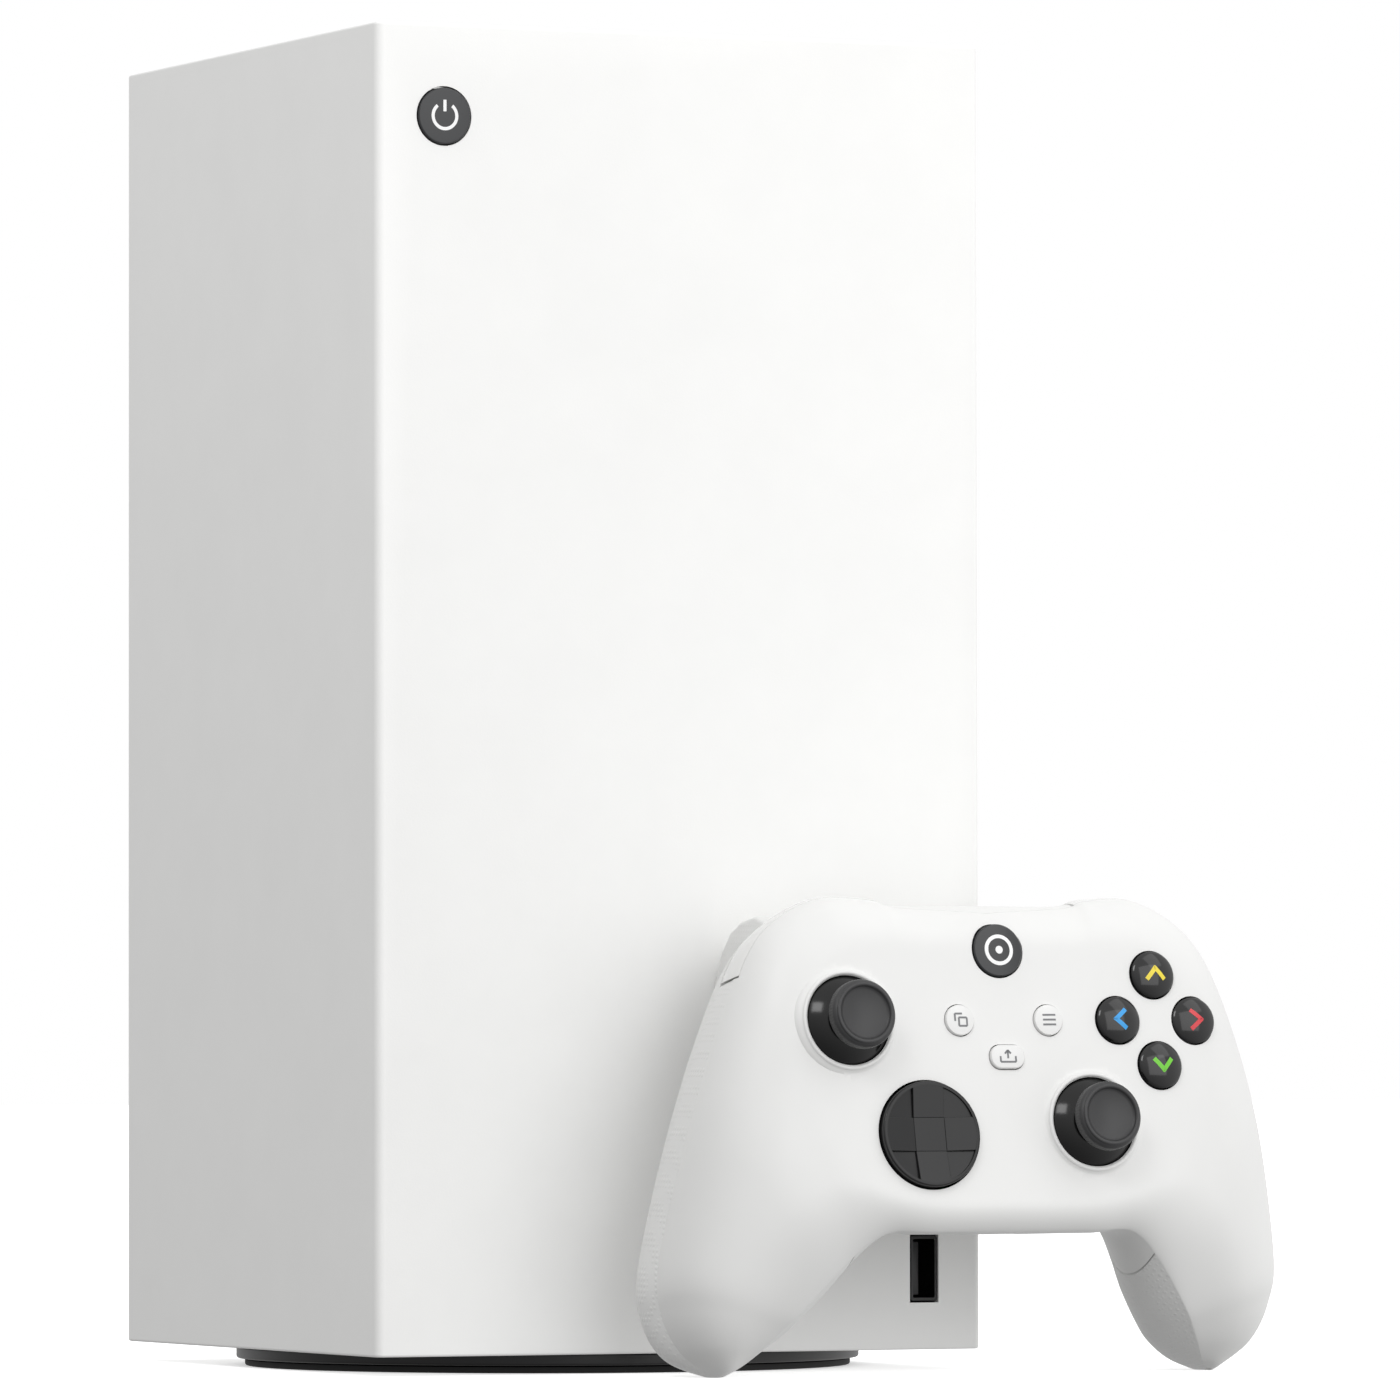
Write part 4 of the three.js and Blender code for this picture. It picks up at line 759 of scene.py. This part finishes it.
def station_at(place):
    """The station at any place between two of the list, on a smooth curve through them all."""
    at = abs(place)
    k = min(int(at), LAST - 1)
    f = at - k
    rows = [station_row(i) for i in (k - 1, k, k + 1, k + 2)]
    row = [
        b + 0.5 * f * (
            c - a + f * (2 * a - 5 * b + 4 * c - d + f * (3 * (b - c) + d - a))
        ) for a, b, c, d in zip(*rows)
    ]
    side = -1 if place < 0 else 1
    inner, outer = Vector((side * row[0], row[1], row[2])), Vector((side * row[3], row[4], row[5]))
    return inner, outer, row[6], row[7:9], row[9:11], row[11:]


def rise(distance, reach, power):
    """0 at a seam and 1 from reach on. power 1 leaves the seam crisp, power 2 round."""
    return 1.0 if distance >= reach else (1 - (1 - distance / reach) ** 2) ** (1 / power)


def skin_point(station, t, front, inset=0.0):
    """A point of the skin, moved in by inset. t runs from the inner seam (0) to the outer (1)."""
    inner, outer, face, back, belly, reach = station
    along = Vector((outer.x - inner.x, outer.y - inner.y, 0))
    length = max(along.length - 2 * inset, 0.05)
    along.normalize()
    spot = Vector((inner.x, inner.y, 0)) + along * (inset + t * length)
    chord = inner.z + (outer.z - inner.z) * t
    a, b, c, d = (min(max(r - inset, 1), 0.55 * length) for r in reach)
    if front:
        near, far = rise(t * length, a, 1.25), rise((1 - t) * length, b, 2)
        level = face - inset
    else:
        near, far = rise(t * length, c, 2), rise((1 - t) * length, d, 2)
        level = back[0] + (back[1] - back[0]) * t + inset
        spot += along * 4 * (belly[1] * far * (1 - far) - belly[0] * near * (1 - near))
    spot.z = chord + (level - chord) * near * far
    return spot


def skin(front, along=300, across=64, inset=0.0, reach=LAST):
    """One side of the body as a grid whose points are moved onto it."""
    bm = bmesh.new()
    bmesh.ops.create_grid(bm, x_segments=along, y_segments=across, size=1.0)
    cache = {}
    for vert in bm.verts:
        key = round(vert.co.x, 6)
        if key not in cache:
            cache[key] = station_at(key * reach)
        t = (1 - math.cos(math.pi * (vert.co.y + 1) / 2)) / 2
        vert.co = skin_point(cache[key], min(max(t, 0), 1), front, inset)
    if not front:
        bmesh.ops.reverse_faces(bm, faces=bm.faces[:])
    return bm


def outward(bm, reference):
    """Turns a surface so that its middle face looks along reference."""
    total = sum((f.normal * f.calc_area() for f in bm.faces), Vector())
    if total.dot(reference) < 0:
        bmesh.ops.reverse_faces(bm, faces=bm.faces[:])
    bm.normal_update()
    return bm


def body_form(inset=0.0, reach=LAST):
    """The whole body, closed: both skins joined at their seams."""
    bm = together([skin(True, inset=inset, reach=reach), skin(False, inset=inset, reach=reach)])
    bmesh.ops.remove_doubles(bm, verts=bm.verts[:], dist=1e-3)
    bmesh.ops.holes_fill(bm, edges=[e for e in bm.edges if e.is_boundary], sides=0)
    bmesh.ops.recalc_face_normals(bm, faces=bm.faces[:])
    return bm


def half_form(front):
    """The front or the rear half, from the skin to the face between the seams, hollow behind it."""
    look = Vector((0, 0, 1 if front else -1))
    bm = outward(skin(front), look)
    bmesh.ops.solidify(bm, geom=bm.faces[:], thickness=SHELL)
    bmesh.ops.recalc_face_normals(bm, faces=bm.faces[:])
    return bm


SHOULDER_LOW = 12.0
BUMPER_PRESS = 0.5  # room under a bumper's outer end
BUMPER_BACK = -20.6
BRIDGE_HALF = 23.6


def shoulder(start, end, spread, low=None):
    """The room of the bumpers and of the bridge between them."""
    low = SHOULDER_LOW - spread if low is None else low

    def edge(x):
        return -3.9 - 0.125 * abs(x) + spread

    top = [(start - spread, edge(start))] + (
        [(0, edge(0))] if start < 0 < end else []
    ) + [(end + spread, edge(end))]
    outline = top + [(end + spread, BUMPER_BACK - spread), (start - spread, BUMPER_BACK - spread)]
    return placed(prism(outline, -40 - spread, -low), X_FORWARD)


TRIGGER_IN, TRIGGER_OUT = 29.8, 46.8
TRIGGER_ROOM = ((-21, 32), (-58, 32), (-58, -14), (-33, -14), (-24, 8), (-21, 12))


def along_x(outline, start, end, bevel=0.0):
    """An outline of (z, y) points pushed along x."""
    return placed(prism([(-z, y) for z, y in outline], start, end, bevel), PRISM_ALONG_X)


def on_both_sides(outline, spread):
    """An outline of (z, y) points pushed along x where each trigger is, and past its sides by spread."""
    spans = ((TRIGGER_IN - spread, TRIGGER_OUT + spread), (-TRIGGER_OUT - spread, -TRIGGER_IN + spread))
    return [along_x(outline, *span) for span in spans]


def trigger_rooms():
    return on_both_sides(TRIGGER_ROOM, 0.7)


def grip_room(side, spread):
    """What belongs to a grip's own plate: outside of a line down the back."""
    outline = [
        (34 - spread, 40), (34 - spread, -6), (39 - spread, -34), (36 - spread, -80), (90, -80), (90, 40)
    ]
    return prism([(side * x, y) for x, y in outline], -70, 10)


KEYS = {"north": (0, 1), "east": (1, 0), "south": (0, -1), "west": (-1, 0)}
KEY_MIDDLE, KEY_SPREAD, KEY_RADIUS = 38.4, (9.7, 10.4), 5.3
DOME_RADIUS = 15.2
STICK_GAP = 0.25  # round a stick's dome


def key_spot(dx, dy):
    """Where the face button on that side of the diamond is."""
    return KEY_MIDDLE + dx * KEY_SPREAD[0], dy * KEY_SPREAD[1]


class CONSOLE_OT_front_shell(bpy.types.Operator):
    """The controller's face, with its openings and the lips round the sticks"""

    bl_idname = "console.front_shell"
    bl_label = "Front shell"

    def execute(self, context):
        body = half_form(True)
        lips, tools = [], []
        for spot in (LEFT_STICK, RIGHT_STICK):
            rim = arc((10.85, 0.55), 0.55, 0, 180, 8)
            lips.append(
                shift(
                    lathe([(0, -1.2), (13.0, -1.2), (12.3, -0.1), (11.8, 0.15), *rim, (0, 0.8)], steps=96),
                    spot.x, spot.y,
                )
            )
            ball = [
                (
                    math.sqrt((DOME_RADIUS + STICK_GAP) ** 2 - (z + STICK_DEPTH) ** 2), z
                ) for z in (-6, -4, -2, -1, 0, 1, 3)
            ]
            tools.append(shift(lathe([(0, -6), *ball, (0, 3)], steps=96), spot.x, spot.y))
        tools.append(drum(DPAD_RADIUS + 0.5, -12, 12, *DPAD_SPOT, steps=96))
        tools.append(drum(GUIDE_RADIUS + SEAM, -12, 12, 0, GUIDE_Y, steps=64))
        for dx, dy in KEYS.values():
            tools.append(drum(KEY_RADIUS + SEAM, -14, 12, *key_spot(dx, dy), steps=64))
        for x in (-SMALL_X, SMALL_X):
            tools.append(drum(SMALL_RADIUS + 0.22, -12, 12, x, 0, steps=64))
        tools.append(
            prism(rounded(SHARE_WIDTH + 0.44, SHARE_HEIGHT + 0.44, 2.7, 0, SHARE_Y, steps=10), -12, 12)
        )
        tools.append(shoulder(-75, 75, 0))
        for lip in lips:
            body = boolean(body, lip, "UNION")
        for tool in tools:
            body = boolean(body, tool)
        piece("face_shell", body, "controller", "shell", ["front_shell"], PAD)
        return {"FINISHED"}


class CONSOLE_OT_rear_shell(bpy.types.Operator):
    """The back of the controller: middle shell and the two grip plates"""

    bl_idname = "console.rear_shell"
    bl_label = "Rear shell and grips"

    def execute(self, context):
        middle_tools = [grip_room(1, SEAM), grip_room(-1, SEAM), *trigger_rooms(), shoulder(-75, 75, SEAM)]
        middle_tools.append(
            prism(rounded(DOOR_WIDTH + 2 * SEAM, DOOR_HEIGHT + 2 * SEAM, 4.2, 0, DOOR_Y), -60, -28)
        )
        middle_tools.append(box((-4.8 - SEAM, 12, -28.4 - SEAM), (4.8 + SEAM, 40, -24.6 + SEAM)))
        middle_tools.append(placed(drum(2.4 + SEAM, -40, -12, -15, -26.5), X_FORWARD))
        middle_tools.append(placed(drum(3.4 + SEAM, 40, 60, 0, -11.5), X_FORWARD))
        body = half_form(False)
        for tool in middle_tools:
            body = boolean(body, tool)
        piece("back_shell", body, "controller", "shell", ["rear_shell"], PAD)
        # the wells that the triggers sink into hide the inside
        deep = [(-19.6, 33), (-58, 33), (-58, -15.5), (-32.2, -15.5), (-22.9, 7.2), (-19.6, 11.4)]
        blocks = together(on_both_sides(deep, 2.1))
        wells = boolean(body_form(inset=0.9, reach=LAST - 2), blocks, "INTERSECT")
        for tool in [together(trigger_rooms()), shoulder(-75, 75, SEAM)]:
            wells = boolean(wells, tool)
        piece("trigger_wells", wells, "controller", "shell", [], PAD)
        # ledges under the bumpers' outer ends, so that no dark slit opens there
        ends = [box((x - 12, 8, BUMPER_BACK), (x + 12, SHOULDER_LOW + 0.2, -6)) for x in (-62, 62)]
        ledges = boolean(body_form(inset=0.9, reach=LAST - 2), together(ends), "INTERSECT")
        piece("bumper_ledges", ledges, "controller", "shell", [], PAD)
        for side, name in ((-1, "left"), (1, "right")):
            body = boolean(half_form(False), grip_room(side, 0), "INTERSECT")
            for tool in [*trigger_rooms(), shoulder(-75, 75, SEAM)]:
                body = boolean(body, tool)
            piece(f"grip_{name}", body, "controller", "grip", [f"grip_plate_{name}"], PAD)
        return {"FINISHED"}


class CONSOLE_OT_bumpers(bpy.types.Operator):
    """Both bumpers and the bridge between them"""

    bl_idname = "console.bumpers"
    bl_label = "Bumpers"

    def execute(self, context):
        rooms = (
            ("bridge", -BRIDGE_HALF, BRIDGE_HALF, None, "controller", "bumper_bridge", "shell_white", "shell"),
            (
                "shoulder_key_right", BRIDGE_HALF + SEAM, 74, SHOULDER_LOW + BUMPER_PRESS, "bumper_right_lever",
                "bumper_right", "shell_gloss_white", "gloss_white",
            ),
            (
                "shoulder_key_left", -74, -BRIDGE_HALF - SEAM, SHOULDER_LOW + BUMPER_PRESS, "bumper_left_lever",
                "bumper_left", "shell_gloss_white", "gloss_white",
            ),
        )
        for name, start, end, low, body, node, slot, finish in rooms:
            form = boolean(body_form(), shoulder(start, end, -SEAM / 2, low), "INTERSECT")
            form = boolean(form, body_form(inset=2.6, reach=LAST - 2))
            piece(name, form, body, finish, [node], PAD)
        return {"FINISHED"}


class CONSOLE_OT_triggers(bpy.types.Operator):
    """The two triggers, curved levers with a dotted face"""

    bl_idname = "console.triggers"
    bl_label = "Triggers"

    def execute(self, context):
        outside = [
            (-22, 27), (-28, 29.4), (-35, 29.6), (-40.5, 28.4), (-46, 25), (-51, 19), (-53, 11), (-53, 3),
            (-51.5, -4),
        ]
        inside = [(-48, -3.4), (-48, 3), (-46, 12), (-42, 17), (-36, 20), (-30, 19), (-24, 16.5), (-22, 18)]
        for name, start, end in (("right", TRIGGER_IN, TRIGGER_OUT), ("left", -TRIGGER_OUT, -TRIGGER_IN)):
            lever = along_x(outside + inside, start, end, bevel=1.1)
            lever = together(
                [
                    lever,
                    placed(drum(1.5, start - 2, end + 2), Matrix.Translation((0, 20.6, -26.5)) @ PRISM_ALONG_X),
                ]
            )
            piece(
                f"trigger_key_{name}", lever, f"trigger_{name}_lever", "grip",
                [f"trigger_{name}"], PAD, sharp=40,
            )
        return {"FINISHED"}


def knurled(bm, radius, low, high, count, depth):
    """Pulls the rim of a cap in and out round its turn."""
    for vert in bm.verts:
        r = math.hypot(vert.co.x, vert.co.y)
        if abs(r - radius) < 0.5 and low < vert.co.z < high:
            turn = math.atan2(vert.co.y, vert.co.x)
            pull = 1 + depth / radius * (math.cos(turn * count) - 1) / 2
            vert.co.x *= pull
            vert.co.y *= pull
    return bm


class CONSOLE_OT_sticks(bpy.types.Operator):
    """Thumb sticks: polished dome, stem and hollowed thumb rest with a knurled rim"""

    bl_idname = "console.sticks"
    bl_label = "Thumb sticks"

    def execute(self, context):
        knurls = context.scene.console_sizes.knurls
        for name, spot in (("left", LEFT_STICK), ("right", RIGHT_STICK)):
            inside = arc((0, 0), DOME_RADIUS - 1.2, 85, 24, 16)
            outside = arc((0, 0), DOME_RADIUS, 24, 68, 24)
            dome = lathe(
                [(0, -4), (1.3, -4), inside[0], *inside, *outside, (4.6, 14.6), (4.6, 13.4), (0, 13.4)],
                steps=96,
            )
            neck = [(0, 13.8), (5.4, 13.8), (5.3, 14.9), (5.7, 15.9), (6.6, 16.6)]
            side = arc((6.6, 17.8), 1.2, -70, 0, 6)
            shoulder_side = arc((6.2, 18.9), 1.6, 5, 62, 7)
            lip = arc((6.55, 20.2), 0.6, 45, 165, 8)
            bowl = [(5.9 * (1 - i / 10), 20.2 - 1.15 * (1 - (1 - i / 10) ** 2)) for i in range(11)]
            cap = knurled(
                lathe([*neck, *side, *shoulder_side, *lip, *bowl], steps=4 * knurls), 7.8, 17.6, 19.4, knurls,
                0.1,
            )
            at = PAD @ Matrix.Translation(spot)
            piece(f"thumb_dome_{name}", dome, f"stick_{name}_top", "dome", [f"stick_{name}"], at)
            piece(f"thumb_rest_{name}", cap, f"stick_{name}_top", "stick", [], at, sharp=50)
        return {"FINISHED"}


class CONSOLE_OT_dpad(bpy.types.Operator):
    """Direction pad: a faceted dish with a raised cross whose arms rise outwards"""

    bl_idname = "console.dpad"
    bl_label = "Direction pad"

    def execute(self, context):
        radius, half = DPAD_RADIUS, 3.8
        rim = arc((radius - 0.5, 1.2), 0.5, 0, 90, 6)
        disc = lathe([(0, -3.2), (radius - 1.5, -3.2), (radius, -2), *rim, (0, 1.7)], steps=96)
        # four flat facets that face the diagonals
        hollow = bmesh.new()
        bmesh.ops.create_cone(hollow, cap_ends=True, segments=4, radius1=0.01, radius2=40, depth=5.2)
        placed(hollow, Matrix.Translation((0, 0, 1.7)))
        disc = boolean(disc, boolean(hollow, drum(radius - 0.9, -3, 6, steps=96), "INTERSECT"))
        arms = [box((-half, -half, -1.8), (half, half, 0.55), bevel=0.1)]
        for quarter in range(4):
            arm = box((half, -half, -1.8), (radius - 0.4, half, 1.0))
            for vert in arm.verts:
                if vert.co.z > 0:
                    vert.co.z = 0.55 if vert.co.x < half + 1 else 1.75
            placed(arm, Matrix.Rotation(quarter * math.pi / 2, 4, "Z"))
            round_off(arm, arm.edges[:], 0.12)
            arms.append(arm)
        cross = boolean(together(arms), drum(radius - 0.8, -3, 5, steps=96), "INTERSECT", self_overlap=True)
        at = on_pad(*DPAD_SPOT)
        piece(
            "direction_pad", together([disc, cross]), "dpad_top", "dpad", ["dpad"], at, sharp=12
        )
        return {"FINISHED"}


def key_cap(radius, low, top, crown, flange=0.9, steps=96):
    """A round key with a domed top, and the height of that dome over its middle."""
    ball = (radius**2 + crown**2) / (2 * crown)
    edge = math.degrees(math.acos(radius * 0.96 / ball))
    dome = arc((0, top - ball), ball, edge, 90, 14)
    foot = [
        (radius + flange, low), (radius + flange, low + 1), (radius, low + 1)
    ] if flange else [(radius, low)]
    shoulder_point = (radius, dome[0][1] - 0.25)
    bm = lathe([(0, low), *foot, shoulder_point, *dome], steps=steps)
    return bm, lambda x, y: top - ball + math.sqrt(max(ball**2 - x * x - y * y, 0))


class CONSOLE_OT_keys(bpy.types.Operator):
    """Face buttons with arrow marks, and the small keys in the middle"""

    bl_idname = "console.keys"
    bl_label = "Buttons"

    def execute(self, context):
        inks = {"north": "ink_yellow", "east": "ink_red", "south": "ink_green", "west": "ink_blue"}
        for name, (dx, dy) in KEYS.items():
            top = 2.2 - 0.8 * max(dx, 0)
            cap, height = key_cap(KEY_RADIUS, -8, top, 1.5)
            turn = Matrix.Rotation(math.atan2(-dx, dy), 4, "Z")
            bars = [stroke(-2.2, -1.3, 0.25, 1.6, 1.0), stroke(2.2, -1.3, -0.25, 1.6, 1.0)]
            mark = on_face(placed(together(bars), turn), height)
            at = on_pad(*key_spot(dx, dy))
            piece(
                f"{name}_cap", inlaid(cap, [mark]), f"{name}_key", ["gloss_black", inks[name]],
                [f"button_{name}"], at,
            )
        guide, height = key_cap(GUIDE_RADIUS, -3.2, 1.0, 0.5, flange=0)
        home = on_face(together([ring(3.1, 0.85), drum(0.9, -0.06, 0.06, steps=24)]), height)
        piece(
            "guide_cap", inlaid(guide, [home]), "guide_key", ["dark_key", "ink_white"],
            ["guide_button"], on_pad(0, GUIDE_Y),
        )
        line = 0.42
        squares = [
            ((-1.4, 1.4), (0.4, 1.4)), ((-1.4, 1.4), (-1.4, -0.3)), ((-0.5, 0.5), (1.5, 0.5)),
            ((-0.5, 0.5), (-0.5, -1.4)), ((-0.5, -1.4), (1.5, -1.4)), ((1.5, 0.5), (1.5, -1.4)),
        ]
        bars = [((-1.6, y), (1.6, y)) for y in (-1.1, 0, 1.1)]
        tray = [
            ((-1.9, 0.1), (-1.9, -1.2)), ((-1.9, -1.2), (1.9, -1.2)), ((1.9, -1.2), (1.9, 0.1)),
            ((0, -0.4), (0, 1.4)), ((-0.75, 0.7), (0, 1.45)), ((0.75, 0.7), (0, 1.45)),
        ]
        for name, x, marks in (("view", -SMALL_X, squares), ("menu", SMALL_X, bars)):
            cap, height = key_cap(SMALL_RADIUS, -4.5, 1.0, 0.35, steps=64)
            icon = on_face(together([stroke(*a, *b, line) for a, b in marks]), height)
            at = on_pad(x, 0)
            piece(
                f"{name}_cap", inlaid(cap, [icon]), f"{name}_key", ["gloss_white", "ink_grey"],
                [f"{name}_button"], at,
            )
        cap = prism(rounded(SHARE_WIDTH, SHARE_HEIGHT, 2.5, steps=10), -4.5, 0.8, bevel=0.35)
        icon = on_face(together([stroke(*a, *b, line) for a, b in tray]), lambda x, y: 0.8)
        piece(
            "share_cap", inlaid(cap, [icon]), "share_key", ["gloss_white", "ink_grey"],
            ["share_button"], on_pad(0, SHARE_Y),
        )
        return {"FINISHED"}


class CONSOLE_OT_back_details(bpy.types.Operator):
    """Battery door"""

    bl_idname = "console.back_details"
    bl_label = "Back details"

    def execute(self, context):
        door = prism(
            rounded(DOOR_WIDTH, DOOR_HEIGHT, 4.0, 0, DOOR_Y, steps=8), -37.4, -35.3, bevel=1.0, segments=5
        )
        piece("battery_lid_panel", door, "battery_lid", "shell", ["battery_door"], PAD)
        return {"FINISHED"}


# the nodes that keep their shape, by finish
INNER_PARTS = {
    "aluminium": "chassis heatsink",
    "board": "main_board io_board controller_board",
    "steel": (
        "power_supply video_socket data_sockets_rear network_socket rear_screw_left rear_screw_right "
        "rumble_motor_left rumble_motor_right rumble_weight_left rumble_weight_right "
        "stick_housing_left stick_housing_right cable_socket"
    ),
    "black": "fan_housing fan_rotor power_inlet expansion_slot headset_jack",
    "grey": (
        "stick_outer_yoke_left stick_outer_yoke_right stick_inner_yoke_left stick_inner_yoke_right "
        "dpad_plate"
    ),
    "cell": "battery_lower battery_upper",
    "dark_key": "pairing_button",
}


class CONSOLE_OT_inner(bpy.types.Operator):
    """Finishes of the parts that keep their plain shape"""

    bl_idname = "console.inner"
    bl_label = "Inner parts"

    def execute(self, context):
        for finish, nodes in INNER_PARTS.items():
            for node in nodes.split():
                mesh = frame["nodes"][node].data
                mesh.materials.clear()
                mesh.materials.append(MATERIALS[finish])
        return {"FINISHED"}


OPERATORS = (
    CONSOLE_OT_stage, CONSOLE_OT_casing, CONSOLE_OT_grille, CONSOLE_OT_rear, CONSOLE_OT_foot,
    CONSOLE_OT_front, CONSOLE_OT_front_shell, CONSOLE_OT_rear_shell, CONSOLE_OT_bumpers,
    CONSOLE_OT_triggers, CONSOLE_OT_sticks, CONSOLE_OT_dpad, CONSOLE_OT_keys, CONSOLE_OT_back_details,
    CONSOLE_OT_inner,
)


class CONSOLE_PT_panel(bpy.types.Panel):
    """Lists the pieces and the sizes that can be changed"""

    bl_label = "Game console"
    bl_space_type = "VIEW_3D"
    bl_region_type = "UI"
    bl_category = "Console"

    def draw(self, context):
        for group in (context.scene.console_sizes, context.scene.console_colours):
            column = self.layout.column(align=True)
            for name in group.__annotations__:
                column.prop(group, name)
        for operator in OPERATORS:
            self.layout.operator(operator.bl_idname)


CLASSES = (ConsoleSizes, ConsoleColours, *OPERATORS, CONSOLE_PT_panel)


def register():
    for cls in CLASSES:
        bpy.utils.register_class(cls)
    bpy.types.Scene.console_sizes = PointerProperty(type=ConsoleSizes)
    bpy.types.Scene.console_colours = PointerProperty(type=ConsoleColours)


def unregister():
    del bpy.types.Scene.console_colours
    del bpy.types.Scene.console_sizes
    for cls in reversed(CLASSES):
        bpy.utils.unregister_class(cls)


def main():
    register()
    make_materials(bpy.context.scene.console_colours)
    for operator in OPERATORS:
        group, name = operator.bl_idname.split(".")
        getattr(getattr(bpy.ops, group), name)()


if __name__ == "__main__":
    main()
